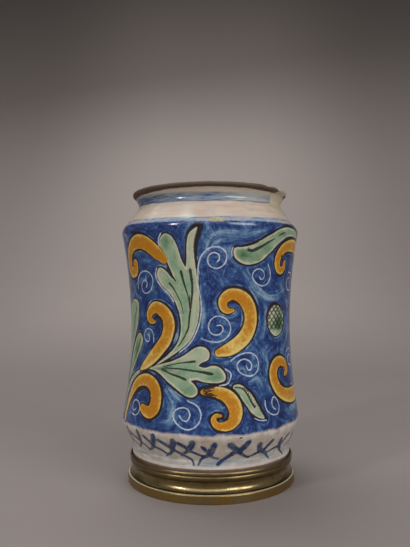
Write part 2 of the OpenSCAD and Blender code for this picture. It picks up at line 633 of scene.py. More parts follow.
LEAVES = (
    # The great leaf, with three lobes on one stem
    Leaf((
        (-47, 99.6), (-39, 105), (-33, 109.5), (-27.9, 114.9), (-25, 119.9), (-23.2, 127), (-23.6, 136.4),
        (-25.7, 143.6), (-28.6, 150), (-32.9, 155.7), (-38.6, 160.7), (-42.4, 165.4), (-43.6, 170),
        (-41.4, 174.2), (-38, 174), (-34, 171), (-30.5, 166.8), (-27.3, 164.4), (-27.3, 164.6),
        (-30, 171), (-33, 178), (-36.2, 184.5), (-38.4, 190), (-38.6, 195), (-36, 198.7),
        (-32.5, 199.8), (-28.5, 197.6), (-25.2, 192.1), (-23.3, 186.4), (-21.3, 179.3),
        (-18.2, 174), (-18, 174.2), (-17.4, 182), (-17.2, 189.3), (-16.4, 195.5), (-14.5, 200),
        (-8.8, 204.6), (-8.6, 204.4), (-9.4, 199.6), (-10.8, 193.6), (-11.4, 185), (-10.7, 174.3),
        (-9.6, 163.6), (-8.6, 152.9), (-8.3, 142.1), (-10, 132.1), (-13.6, 122.7), (-18, 117.3),
        (-25, 111.8), (-33, 106.6), (-41, 102.2),
    ), 0.75),
    # The lower leaf, with three lobes to the right
    Leaf((
        (-52, 97.2), (-40, 101.2), (-31.4, 103.6), (-22.9, 107.2), (-17, 110.9), (-11.4, 114.5),
        (-6.4, 115.3), (-2.4, 113.6), (-0.4, 109.6), (-1.8, 105.6), (-6.4, 103.6), (-9.2, 101.2),
        (-9.2, 101), (-4, 99.8), (1, 101.3), (5.5, 100.8), (9.3, 98.2), (11.6, 94.4), (11, 90.6),
        (7, 89), (1, 88.9), (-5, 89.6), (-10.5, 90.9), (-15, 90.2), (-15, 90), (-11.8, 87.4),
        (-9.4, 83.6), (-10.2, 80), (-13.6, 78.2), (-18.6, 79.2), (-24.3, 82.7), (-30, 86.3),
        (-35.2, 89.6), (-40.5, 93.4), (-46, 96),
    ), 0.85),
    # The long leaf under the shoulder
    Leaf((
        (17.2, 187.6), (18, 182.4), (22, 178.6), (28, 176.6), (34.3, 177.4), (40, 179.4), (45.7, 183.6),
        (51.4, 188.6), (57.1, 193.6), (62.1, 196.8), (68, 199.6), (76, 200.8), (86, 199.6), (95, 196.5),
        (92, 201.5), (84, 205.5), (75.7, 207), (68.6, 207.2), (62.1, 206.1), (55.7, 204.2), (50, 201),
        (43.6, 197.8), (37.1, 194.4), (30.7, 191), (23.6, 189.4), (19.5, 189.2),
    ), 0.9),
    # The small leaf above the foot
    Leaf((
        (17, 85.6), (20.7, 87.4), (25, 86), (30.6, 81), (35, 74.7), (39.2, 67.6), (42, 61.6), (38.5, 61.6),
        (35, 63.2), (30.8, 66.4), (27.9, 70.7), (24.3, 75.7), (20.7, 80.6),
    ), 0.9),
    # Two leaves at the side
    Leaf((
        (-71, 149), (-69.4, 145), (-70.9, 135.4), (-75, 125), (-81, 115.6), (-86, 106.2), (-90.6, 95),
        (-97, 88), (-99, 100), (-97, 118), (-94, 132), (-90.9, 141.3), (-84, 148), (-77, 150.4),
    )),
    Leaf((
        (-64.6, 122), (-63, 118.1), (-65.7, 111.7), (-70.7, 105), (-76.6, 96.8), (-83, 89), (-88, 84.5),
        (-86.4, 92), (-83.4, 102), (-80, 110), (-76, 117), (-71.5, 122), (-67.4, 123.6),
    )),
    # The hatched bud
    Leaf((
        (59.7, 146.6), (67.6, 144), (72.4, 136.5), (71.8, 129.3), (67, 124), (59.6, 121.8), (53.2, 125.6),
        (50, 132.6), (50.2, 137.3), (53.4, 142.8),
    ), 0.4),
)

# The middle of the hatched bud, how far the hatching reaches from it, and the hatching's lower end and pitch
BUD_MIDDLE: Point = (60.0, 134.2)
BUD_HALF = 14.0
HATCH_FOOT = -7.5
BUD_PITCH = 5.4

STEMS = (
    Stroke(
        ((-47.6, 98.4), (-56, 97), (-65.1, 93.6), (-76, 88), (-85, 79.6), (-90, 69.6), (-91, 58)),
        (0.9, 1.4, 1.7, 1.5, 1.0),
    ),
    Stroke(((-90, 74), (-96, 84), (-100, 92)), (1.0, 1.6, 2.0)),
    Stroke(
        ((-100, 79), (-99, 92), (-97.5, 106), (-97, 122), (-97.5, 140), (-99, 158), (-103, 174),
         (-110, 188), (-119, 195.5), (-128, 198.5)),
        (2.2, 2.2, 2.0, 1.8, 1.6, 1.8),
    ),
)

DABS = (
    Dab((-33, 193), (3.2, 6), 0.8),
    Dab((-28, 180), (3, 7), 0.35),
    Dab((-13, 196), (4, 9), -0.6),
    Dab((-13, 178), (3, 10), -0.7),
    Dab((-39, 168), (4, 6), -0.3),
    Dab((-34, 163), (4, 4), 0.25),
    Dab((-12, 150), (3, 16), -0.5),
    Dab((-20, 146), (3, 14), 0.2),
    Dab((-16, 124), (4, 7), -0.5),
    Dab((-28, 112), (5, 4), 0.3),
    Dab((-4, 110), (5, 5), -0.4),
    Dab((-16, 107), (8, 3), -0.6),
    Dab((5, 94), (6, 4.5), 0.7),
    Dab((-16, 83.5), (5.5, 3.5), 0.6),
    Dab((-40, 97.8), (8, 2.4), 1.0),
    Dab((-24, 96), (8, 4), 0.2),
    Dab((24, 184), (5, 5), 1.1),
    Dab((34, 182), (8, 4), 0.6),
    Dab((32, 190), (6, 2), -0.7),
    Dab((46, 189), (7, 4), 0.6),
    Dab((44, 196), (8, 2), -0.5),
    Dab((60, 201), (9, 3), 0.6),
    Dab((27, 83), (5, 3), -0.8),
    Dab((34, 75), (3, 8), -0.8),
    Dab((27, 74), (4, 8), 0.3),
    Dab((-74, 112), (5, 8), 1.0),
    Dab((-80, 132), (4, 12), 0.5),
    Dab((64.6, 131.4), (6, 6), 1.9),
    Dab((55.4, 139.4), (6, 6), -1.2),
    Dab((58.4, 124), (6, 2.6), -0.8),
)

INK_STROKES = (
    # Veins of the great leaf
    Stroke(
        ((-22.2, 171), (-20.2, 163), (-18.6, 157.9), (-16.6, 150.7), (-16, 143)),
        (1.1, 0.7, 0.4, 0.3),
    ),
    Stroke(
        ((-15, 172), (-13.9, 165), (-13.6, 157.9), (-14.3, 150.7), (-15.2, 144), (-16.1, 137.9),
         (-17.1, 129.3), (-19.3, 124.4), (-21.8, 119.9), (-25, 115.4)),
        (1.3, 0.9, 0.8, 0.8, 0.8, 0.6, 0.4),
    ),
    Stroke(
        ((-32.1, 162.3), (-29.3, 159.3), (-26.2, 154), (-22.9, 147.6), (-21.2, 140)),
        (0.9, 0.5, 0.45, 0.3),
    ),
    Stroke(((-33.8, 174.6), (-30.9, 170), (-27.2, 164.6)), (0.3, 0.5, 0.7)),
    # The thick black tip and right edge of its tall lobe
    Stroke(
        ((-16.6, 199.6), (-13, 203.6), (-8.4, 205.6), (-6.6, 204.8), (-8, 200), (-9.8, 193.4), (-10.7, 185),
         (-10.3, 174)),
        (0.8, 1.5, 1.8, 2.0, 1.8, 1.4, 1.0, 0.6),
    ),
    # Veins of the lower leaf
    Stroke(((-12, 104.4), (-20.7, 103.3), (-31.4, 101.3), (-38, 99.4)), (0.9, 0.5, 0.35, 0.3)),
    Stroke(((1, 95.4), (-6, 96.6), (-13.6, 97.6), (-24.3, 98.6), (-36, 98.6)), (1.2, 0.8, 0.7, 0.6, 0.4)),
    Stroke(((-19, 91), (-24.3, 92.8), (-31.4, 94.6), (-39, 97.4)), (0.9, 0.8, 0.6, 0.6)),
    # The long leaf's vein and its heavy upper edge
    Stroke(
        ((29, 187.6), (31.6, 187), (35.4, 188.4), (41, 191.2), (47, 194.6), (52, 197)),
        (1.1, 1.3, 1.0, 0.8, 0.4),
    ),
    Stroke(((56, 199.4), (60, 201.4), (64, 202.8)), (0.3, 0.7, 0.3)),
    Stroke(
        ((24, 190.4), (33, 192.8), (43.6, 198.8), (55.7, 205.2), (66, 208.2), (78, 208)),
        (0.8, 1.0, 0.9, 0.8, 1.2, 1.4),
    ),
    # The small leaf's vein and right edge
    Stroke(((18.6, 85.4), (24, 84.4), (27.9, 80.4), (30.8, 75), (33.6, 70.6)), (0.4, 0.6, 0.7, 1.0)),
    Stroke(((27, 85.4), (32, 80.6), (36.4, 73.8), (40.6, 66.4), (43.6, 61)), (0.6, 0.8, 1.0, 1.4, 1.3)),
    # The bud's heavy edge above and to the left, and its shaded side
    Stroke(
        ((49.2, 130), (49, 138), (53, 144.8), (59.6, 147.2), (66.6, 144.8)),
        (0.7, 1.4, 1.7, 1.4, 0.6),
    ),
    Stroke(((72.8, 138), (73, 132), (71.6, 127.6)), (0.4, 1.0, 0.4)),
    # Feathering at the tail of the lowest scroll
    Stroke(((3.4, 86), (-2, 84.8), (-5.4, 83)), (0.4, 0.9, 0.4)),
    Stroke(((2.6, 83.6), (-1.4, 82.6), (-4.6, 81.4)), (0.2, 0.5, 0.3)),
    Stroke(((4, 77.6), (0.4, 79.4), (-4, 81)), (0.3, 0.9, 0.5)),
    Stroke(((5.4, 79.6), (2, 80.6), (-2.6, 82)), (0.2, 0.5, 0.3)),
    # A pit in the heel's glaze
    Stroke(((21.4, 49.2), (22.5, 49.3)), (0.8, 0.5)),
    # Hooks in the heads of the scrolls
    Stroke(((-72.6, 186), (-75.4, 182.6), (-75, 178.4), (-73.4, 176.6)), (0.8, 0.9, 0.6)),
    Stroke(((-39.4, 133.6), (-42.4, 136.6), (-46.2, 137), (-47.6, 135.4)), (0.5, 0.9, 1.5)),
    Stroke(((17.2, 149.4), (19.8, 148.6), (22.6, 146.8)), (0.9, 0.9, 0.6)),
    Stroke(((63, 184.6), (64.2, 182), (66, 180.4)), (0.7, 1.0, 0.8)),
    Stroke(((8, 63.2), (10.4, 62.4), (12.2, 64.2), (13.2, 67)), (0.5, 1.2, 0.8)),
    Stroke(((-52, 70.8), (-49.4, 71.6), (-49, 75)), (0.7, 0.9, 0.6)),
    Stroke(((65.6, 97.6), (66.6, 96), (68.4, 94.8)), (0.8, 0.8, 0.5)),
    # Veins of the side leaves
    Stroke(((-74, 144), (-77.4, 136), (-82, 124), (-89, 111)), (0.5, 0.7, 0.5, 0.3)),
    Stroke(((-67.4, 118.4), (-71, 110.6), (-77.4, 101.6), (-83, 94)), (0.8, 0.6, 0.3)),
)

SCRATCHES = tuple(
    Stroke(path, (width,))
    for path, width in (
        # Spirals
        (((-9.4, 160), (-9.2, 168), (-8.8, 175), (-6.6, 182.4), (-1, 188.2), (5, 189.4), (10.2, 187),
          (12.2, 182), (10.4, 176.6), (5.6, 173.6), (0.6, 174.8), (-1.8, 179), (-0.6, 183.4), (3, 185.2),
          (6.4, 183.4), (6.6, 180), (5.2, 178.4)),
         0.5),
        (((47.6, 177), (50, 172.8), (51.1, 167.9), (48.8, 163), (43.8, 160.7), (38.4, 162), (34.4, 165.6),
          (33.6, 169.6), (35.8, 172.6), (39.4, 173.6), (43, 172), (44.6, 169), (43.8, 166.2), (41.2, 165.8),
          (40, 167.6)), 0.45),
        (((-68.6, 159), (-67.6, 166), (-63.4, 170.8), (-57, 172.4), (-51.4, 170.6), (-48.4, 165.8),
          (-49.4, 160.4), (-53, 156.4), (-58, 155), (-62, 157), (-62.8, 160.6), (-60.4, 164.4),
          (-57, 165.4), (-55.2, 162.6), (-56.4, 160)), 0.45),
        (((-6.6, 121.2), (0, 119.2), (7, 119), (13, 122), (16, 127.8), (14.6, 133.4), (10.2, 137.2),
          (5, 138), (0.5, 135.2), (-1.4, 130.3), (0.4, 125.8), (4.5, 124), (8.6, 125.4), (10, 128.8),
          (8.2, 131.2), (5.4, 131)), 0.45),
        (((-49, 117.6), (-49.2, 122.6), (-51.6, 126.4), (-55.8, 127.6), (-59.6, 125.4), (-60.6, 121.4),
          (-58.4, 118), (-55.2, 117.6), (-53.6, 120.4), (-55, 123)), 0.45),
        (((16.1, 105), (21.4, 108.4), (27.2, 110.2), (33, 110), (37.8, 107), (39.6, 101.3), (38, 96.3),
          (33.6, 93.4), (28.4, 93.5), (23, 96.2), (20.8, 100.6), (22.4, 104.2), (26.4, 105.8),
          (30.8, 104.4), (33.2, 101.2), (32.2, 97.8), (29.8, 97.8), (28.6, 100.4)), 0.5),
        (((-16.4, 75.4), (-10.2, 72.8), (-7, 68.4), (-6.8, 63.2), (-9.4, 58.4), (-14.4, 55.4),
          (-20, 56.2), (-25, 59.8), (-27.4, 64.2), (-25.6, 68.4), (-20.8, 70.6), (-16.4, 69.6),
          (-14.6, 65.6), (-16.4, 61.4), (-20, 61.8), (-22.4, 64.6)), 0.5),
        (((-71.6, 60.6), (-66, 59.8), (-61.6, 62), (-60.6, 66.4), (-62.6, 70.2), (-67, 71.4), (-70.8, 69),
          (-71.4, 65), (-68.4, 63), (-65.6, 65)), 0.45),
        (((43.6, 73.6), (43.8, 68.6), (46.6, 64.8), (51.4, 62.6), (56, 63.4), (58, 67.8), (56.6, 73),
          (53, 75.8), (50.6, 73), (50.6, 69), (53, 66.6)), 0.45),
        (((79, 172), (86, 171.6), (90.4, 166), (88.4, 159.6), (82, 157.4), (77, 160.6), (77, 165.6),
          (81, 168), (84.6, 165.6), (83.6, 162.6)), 0.45),
        (((78, 108.4), (85, 110.6), (91, 107), (92, 101), (87.6, 96.8), (82, 98), (80.4, 102.6),
          (83.6, 105.8), (87.4, 104), (87, 101)), 0.45),
        (((110, 172), (105.6, 168), (106, 162), (111, 159.4), (115.4, 162), (115, 166.6),
          (111.4, 167.6)), 0.45),
        (((106, 108), (101.6, 104), (102, 98.4), (106.6, 95.6), (111, 98), (110.8, 102.4),
          (107.4, 103.6)), 0.45),
        (((104, 66), (98.4, 65), (96.6, 60), (100, 56), (105.6, 57), (106.6, 61), (103, 62.6)), 0.5),
        (((-84.4, 203.6), (-80.8, 201.2), (-79.6, 197.4)), 0.5),
        # White ground left bare along leaves
        (((-37.2, 199.8), (-39.4, 196), (-39.4, 191)), 0.6),
        (((-43.6, 173.8), (-45, 170), (-43.6, 165), (-39.4, 159.8), (-33.6, 154.8), (-29.4, 149.2)), 0.65),
        (((-9, 160), (-7.2, 150), (-7, 141), (-8.8, 131.4), (-12.6, 122.4), (-17, 116.6), (-24, 111)), 0.5),
        (((11.8, 98.8), (15.3, 96.2), (15.6, 92.8), (13, 88.2), (7.4, 86.9)), 0.48),
        (((33.4, 62), (37.2, 60.2), (43, 59.8)), 0.45),
        (((16.6, 189), (15.8, 186), (16.2, 183)), 0.45),
    )
)

# Half the width of the brush along the three kinds of stroke on the foot
BROAD = (2.3, 2.2, 1.6, 1.0, 0.8)
SLIM = (1.5, 1.4, 1.1, 0.9, 0.8)
FULL = (2.3, 2.3, 2.0, 1.8, 1.5, 1.3, 1.5)

# The blue crosses on the foot, each of two strokes that run on toward the next
CROSSES = tuple(
    Stroke(path, widths)
    for path, widths in (
        (((-94, 46.6), (-95, 41), (-97.4, 36.4), (-101, 33.4)), BROAD),
        (((-105, 44.8), (-99, 42), (-93.6, 39.2), (-86, 35)), SLIM),
        (((-78, 47), (-78.6, 41.4), (-81, 36.4), (-84.6, 33.2)), BROAD),
        (((-89, 44.6), (-84, 42), (-79, 39.4), (-70, 35.4)), SLIM),
        (((-60.8, 47.6), (-61, 43), (-63, 38), (-67, 34.6)), BROAD),
        (((-76.4, 45.4), (-69.4, 42.6), (-62, 40.1), (-53.4, 35.1)), SLIM),
        (((-43.7, 47.2), (-46.1, 41.2), (-49.7, 36.3), (-53.6, 34.7)), BROAD),
        (((-54.2, 45.3), (-50.4, 42.5), (-47.7, 39.3), (-44.1, 38.1), (-39.3, 36.6), (-35, 34.1)), SLIM),
        (((-27.2, 45.6), (-28.7, 40.2), (-31.9, 35.1), (-36, 32.9)), BROAD),
        (((-39.5, 44.6), (-33.5, 41.7), (-28.6, 38.7), (-21.8, 35.2), (-17.2, 33), (-14.4, 31),
          (-13, 28.1)), SLIM),
        (((-12.6, 45.4), (-15.1, 40.5), (-20, 36.4), (-22.4, 34.6)), BROAD),
        (((-23.3, 44.3), (-19.5, 42.3), (-16.2, 39.4), (-11.3, 37.1), (-6.2, 34.9)), SLIM),
        (((2.9, 43.9), (1.2, 39.2), (-0.5, 36.3), (-6.3, 33), (-9.3, 28.2)), BROAD),
        (((-5.4, 42), (-2.4, 38.9), (0.2, 35.8), (2.6, 33.7), (6, 32.8)), SLIM),
        (((28.2, 44.7), (26, 41.7), (22.7, 38.9), (19, 37.7), (14.6, 34.8), (9.5, 31.3),
          (6.1, 28.6)), FULL),
        (((14.6, 43.6), (18, 40.9), (21.9, 37.9), (25.6, 34.9), (30.7, 32.2)), BROAD),
        (((38.8, 41.4), (40.6, 37.1), (47.4, 33.3), (51.8, 29)), BROAD),
        (((50.8, 43.1), (47.4, 39.6), (44.4, 36.4), (39.4, 35.2), (31.2, 32.4)), SLIM),
        (((61.9, 41.2), (62.6, 37.6), (67.5, 32.3), (72.5, 28.3)), BROAD),
        (((72.9, 44.6), (68.5, 41.5), (64.7, 37.1), (56.2, 35.8), (48.6, 33.6)), SLIM),
        (((94, 46), (90.4, 41.6), (85, 37.4), (76, 34.2)), SLIM),
        (((82.4, 43.6), (84.4, 39.4), (90, 34.2), (95, 31)), BROAD),
    )
)

# Broad pale sweeps of the brush in the blue ground
WASHES = (
    Stroke(((-4, 182), (-1.6, 191), (4, 199)), (1.0, 2.2, 1.2)),
    Stroke(((-3, 184), (4, 192), (14, 196)), (0.8, 1.8, 1.4)),
    Stroke(((-6.4, 152), (-5.4, 140), (-7, 126)), (1.0, 1.6, 1.2)),
    Stroke(((-2, 194), (8, 199), (22, 199), (38, 203), (52, 207)), (2.4, 3.2, 2.4, 1.6)),
    Stroke(((0, 172), (6, 168), (10, 160)), (1.8, 2.6, 1.2)),
    Stroke(((24, 174), (31, 166), (38, 158), (50, 153), (64, 154), (78, 160)), (2.0, 4.0, 2.6, 3.4, 2.0)),
    Stroke(((44, 150), (49, 142), (47, 128), (41, 117)), (1.6, 2.8, 1.8)),
    Stroke(((45, 114), (48, 100), (47, 86), (52, 76)), (1.6, 2.6, 1.6)),
    Stroke(((30, 88), (38, 90), (43, 80)), (1.2, 2.0, 1.4)),
    Stroke(((62, 66), (74, 63), (88, 66)), (1.6, 3.0, 2.0)),
    Stroke(((-40, 58), (-30, 60), (-29, 72), (-36, 82)), (2.0, 3.4, 2.0)),
    Stroke(((-20, 74), (-27, 78), (-34, 84)), (1.2, 2.2, 1.4)),
    Stroke(((-78, 163), (-72, 156), (-64, 151)), (2.0, 3.0, 1.4)),
    Stroke(((-58, 181), (-52, 180), (-48, 177)), (1.8, 3.0, 1.4)),
    Stroke(((-26, 115), (-31, 108), (-42, 103)), (1.0, 1.8, 1.0)),
    Stroke(((72, 112), (80, 122), (82, 140), (76, 152)), (1.6, 3.0, 2.0)),
    Stroke(((-71, 186.6), (-64.6, 188.2), (-58, 188), (-51, 185.4)), (0.8, 1.4, 0.8)),
    Stroke(((24, 146), (26.6, 140), (26.4, 133.6), (24, 127.6)), (0.8, 1.4, 0.8)),
    Stroke(((-50.4, 76), (-51.6, 79.4), (-55, 81), (-59.6, 80.4), (-66, 76)), (0.8, 1.6, 0.8)),
    Stroke(((100, 165), (104, 178), (96, 182)), (1.6, 3.0, 1.6)),
    Stroke(((108, 60), (114, 74), (112, 92)), (1.6, 3.0, 1.6)),
)


# How far around a form, a narrow line and a wash the points are looked at
FORM_REACH = 26.0
LINE_REACH = 5.0
WASH_REACH = 10.0
# Width of the ink around a stem
STEM_INK = 0.5
# How much paler a scroll's outer edge is, the power by which that grows, and how much is taken off all of it
OUTER_PALE = 0.6
OUTER_POWER = 1.5
SCROLL_TONED = 0.1
# How far the back's lines wander around and up, and over which lengths
WANDER: Point = (1.6, 1.1)
WANDER_LENGTHS: Point = (21.0, 17.0)
# The strength of a wash above which the ground's strokes follow it
WASH_LEADS = 0.1
# The part of a wash's length over which it swells and fades
WASH_PART: Band = (0.02, 0.98)
# How far the bands sag at the sides, and the height that parts the upper bands from the lower
BAND_SAG = 1.2
HALF_WAY = 130.0
# The share of that sag which the lower bands have, and how much more of it they have at the right
LOWER_SHARE = 0.5
LOWER_RIGHT = 0.3
# The strength of the neck's blue, and its changes three times and once around the neck
NECK_STRENGTH = 0.95
NECK_CHANGES: Point = (0.12, -0.14)
# Where the neck's blue is thinnest, the length of that stretch, and how much strength is lost there
THIN_BLUE = 42.0
THIN_REACH = 26.0
THIN_LOSS = 0.75
# The stretch of the neck that was made good: its middle, half its length and its lower edge
MENDED_MIDDLE = 80.0
MENDED_HALF = 17.0
MENDED_FOOT = 223.0
# How steeply that stretch ends, against its left end: at its right, and under its lower edge
MENDED_RIGHT = 0.6
MENDED_UNDER = 3.0
# The lost glaze on the shoulder: its middle, its reach, and how much steeper it ends below
LOST_MIDDLE: Point = (4.7, 209.4)
LOST_REACH: Point = (7.0, 3.2)
LOST_BELOW = 3.0


def bell(at: np.ndarray, middle: float, reach: float) -> np.ndarray:
    """Gives a soft mark, which is 1 in its middle and fades out past its reach.

    Args:
        at: The places that are asked about.
        middle: The mark's middle.
        reach: Where the mark has faded to about a third.

    Returns:
        The mark's strength at each place.
    """
    return np.exp(-(((at - middle) / reach) ** 2))


def share_between(at: np.ndarray, low: float, high: float) -> np.ndarray:
    """Gives how far values lie between two others, from 0 at the lower one to 1 at the higher one.

    Args:
        at: The values that are asked about.
        low: The lower value.
        high: The higher value.

    Returns:
        The share for each value.
    """
    return np.clip((at - low) / (high - low), 0, 1)


class Painting:
    """The painting's layers, worked out for every point of the jar's mesh."""

    def __init__(self, around: np.ndarray, height: np.ndarray) -> None:
        """Starts with bare layers.

        Args:
            around: How far around the laid-out wall each point is, in millimetres.
            height: How high each point is above the table, in millimetres.
        """
        self.around = around
        self.height = height
        self.at = np.column_stack((around, height))
        self.layers = {layer: np.zeros(len(around)) for layer in Layer}
        for layer in (*PAINT_LAYERS, Layer.FLOW):
            self.layers[layer][:] = FAR

    def paint(self) -> dict[Layer, np.ndarray]:
        """Paints the front and, in a slightly freer hand, the back.

        Returns:
            The finished layers.
        """
        for turn, freedom in ((0.0, 0.0), (REPEAT, 1.0)):
            self._lay_out(turn, freedom)
            for scroll in SCROLLS:
                self._scroll(scroll)
            for leaf in LEAVES:
                self._leaf(leaf)
            for stem in STEMS:
                self._stem(stem)
            for dab in DABS:
                self._dab(dab)
            for stroke in WASHES:
                self._wash(stroke)
            for strokes, side, far in (
                (INK_STROKES, Layer.INK_SIDE, Layer.INK_FAR),
                (SCRATCHES, Layer.SCRATCH_SIDE, Layer.SCRATCH_FAR),
                (CROSSES, Layer.CROSS_SIDE, Layer.CROSS_FAR),
            ):
                for stroke in strokes:
                    self._line(stroke, side, far)
        self.layers[Layer.AROUND] = (self.around + REPEAT / 2) % REPEAT - REPEAT / 2
        forms = np.minimum(self.layers[Layer.SCROLL], self.layers[Layer.LEAF])
        washed = self.layers[Layer.WASH] > WASH_LEADS
        self.layers[Layer.FLOW] = np.where(washed, self.layers[Layer.FLOW], forms)
        self._neck()
        return self.layers

    def _lay_out(self, turn: float, freedom: float) -> None:
        """Works out every point's place on one of the two paintings.

        Args:
            turn: How far around the painting is turned.
            freedom: How far its lines wander from the front's, in millimetres.
        """
        around = (self.around - turn + ROUND / 2) % ROUND - ROUND / 2
        wander = freedom * np.sin(self.height / WANDER_LENGTHS[0] + 1.0)
        lift = freedom * np.sin(around / WANDER_LENGTHS[1] + 2.0)
        leant = around - CAMERA_ROLL * (self.height - ROLL_HEIGHT)
        raised = self.height + CAMERA_ROLL * around
        self.at = np.column_stack((leant + WANDER[0] * wander, raised + WANDER[1] * lift))

    def _beside(self, line: np.ndarray, reach: float) -> tuple[np.ndarray, Nearest]:
        """Finds how the points around a line lie to it.

        Args:
            line: The line's points.
            reach: How far outside the line's box still counts.

        Returns:
            The numbers of those points, and how they lie to the line.
        """
        low, high = line.min(axis=0) - reach, line.max(axis=0) + reach
        which = np.flatnonzero(((self.at >= low) & (self.at <= high)).all(axis=1))
        return which, nearest(line, self.at[which])

    def _lower(self, layer: Layer, which: np.ndarray, values: np.ndarray) -> np.ndarray:
        """Keeps the smaller of a layer and new values.

        Args:
            layer: The layer.
            which: The points that the new values are for.
            values: The new values.

        Returns:
            True for each new value that was kept.
        """
        kept = values < self.layers[layer][which]
        self.layers[layer][which[kept]] = values[kept]
        return kept

    def _scroll(self, scroll: Scroll) -> None:
        """Paints an ochre scroll, paler on its outer side.

        Args:
            scroll: The scroll.
        """
        line = smooth_line(scroll.path)
        which, to = self._beside(line, FORM_REACH)
        half = spread(scroll.widths, to.along)
        edge = to.distance - half
        ink = np.where(to.side > 0, spread(scroll.ink_left, to.along), spread(scroll.ink_right, to.along))
        steps = np.diff(line, axis=0)
        curl = np.sign((steps[:-1, 0] * steps[1:, 1] - steps[:-1, 1] * steps[1:, 0]).sum())
        outward = np.clip(-curl * to.side * to.distance / half, 0, 1)
        pale = spread(scroll.pale, to.along) + OUTER_PALE * outward**OUTER_POWER - SCROLL_TONED
        kept = self._lower(Layer.SCROLL, which, edge)
        self.layers[Layer.TAIL][which[kept]] = pale[kept]
        self._lower(Layer.SCROLL_INK, which, edge - ink)

    def _leaf(self, leaf: Leaf) -> None:
        """Paints a leaf.

        Args:
            leaf: The leaf.
        """
        line = smooth_line(leaf.outline, closed=True, per_span=5)
        which, to = self._beside(line, FORM_REACH)
        edge = np.where(inside(line, self.at[which]), -to.distance, to.distance)
        self._lower(Layer.LEAF, which, edge)
        self._lower(Layer.LEAF_INK, which, edge - leaf.ink)

    def _stem(self, stem: Stroke) -> None:
        """Paints a green stem.

        Args:
            stem: The stem.
        """
        which, to = self._beside(smooth_line(stem.path), FORM_REACH)
        edge = to.distance - spread(stem.widths, to.along)
        self._lower(Layer.LEAF, which, edge)
        self._lower(Layer.LEAF_INK, which, edge - STEM_INK)

    def _dab(self, dab: Dab) -> None:
        """Darkens a leaf softly, or makes it paler."""
        across, up = (bell(self.at[:, way], dab.middle[way], dab.reach[way]) for way in (0, 1))
        self.layers[Layer.DAB] += dab.strength * across * up

    def _line(self, stroke: Stroke, side: Layer, far: Layer) -> None:
        """Draws a narrow line.

        Args:
            stroke: The line.
            side: The layer that keeps how far across the line a point is, 1 at its edge.
            far: The layer that keeps the distance from its edge.
        """
        which, to = self._beside(smooth_line(stroke.path), LINE_REACH)
        half = spread(stroke.widths, to.along)
        kept = self._lower(far, which, to.distance - half)
        self.layers[side][which[kept]] = (to.side * to.distance / half)[kept]

    def _wash(self, stroke: Stroke) -> None:
        """Sweeps a pale wash through the blue.

        Args:
            stroke: The sweep.
        """
        which, to = self._beside(smooth_line(stroke.path), WASH_REACH)
        soft = bell(to.distance, 0.0, spread(stroke.widths, to.along))
        wash = soft * np.sqrt(np.sin(np.pi * np.clip(to.along, *WASH_PART)))
        kept = wash > self.layers[Layer.WASH][which]
        self.layers[Layer.WASH][which[kept]] = wash[kept]
        self.layers[Layer.FLOW][which[kept]] = (to.side * to.distance)[kept]

    def _neck(self) -> None:
        """Lays out the neck's blue band, the part made good in bare white, and the lost glaze."""
        turn = self.around / ROLL_R
        sag = BAND_SAG * (1 - np.cos(2 * turn))
        lower_sag = sag * (LOWER_SHARE + LOWER_RIGHT * np.sin(turn))
        self.layers[Layer.RISE] = -np.where(self.height > HALF_WAY, sag, lower_sag)
        thinned = THIN_LOSS * bell(self.around, THIN_BLUE, THIN_REACH)
        uneven = NECK_CHANGES[0] * np.sin(3 * turn) + NECK_CHANGES[1] * np.sin(turn)
        self.layers[Layer.NECK_BLUE] = NECK_STRENGTH - thinned + uneven
        low = np.maximum(MENDED_FOOT - self.height, 0) * MENDED_UNDER
        beyond = self.around - MENDED_MIDDLE
        beside = np.where(beyond > 0, MENDED_RIGHT * beyond, -beyond)
        self.layers[Layer.BARE] = MENDED_HALF - beside - low
        apart = (self.around - LOST_MIDDLE[0]) / LOST_REACH[0]
        drop = (self.height - LOST_MIDDLE[1]) / LOST_REACH[1]
        self.layers[Layer.CHIP] = 1 - np.where(drop < 0, LOST_BELOW * drop**2, drop**2) - apart**2


# Finishes


class GlazeGraph(Graph):
    """The glaze's graph, with the values that its layers of paint share."""

    def __init__(self, name: str) -> None:
        """Makes the marks of the painter's hand.

        Args:
            name: The material's name.
        """
        super().__init__(name)
        # The place drawn out around the jar, a brush's waver, and the height as a turning hand keeps it
        self.brushed = self.place((0.1, 0.1, 1.0))
        self.tremor = self.noise(1.0, 3.0) * 0.7 + self.noise(5.0) * 0.5
        level = self.height + self.layer(Layer.RISE)
        self.level = level + self.noise(3.0, at=self.brushed) * 1.2 + self.noise(12.0) * 1.2


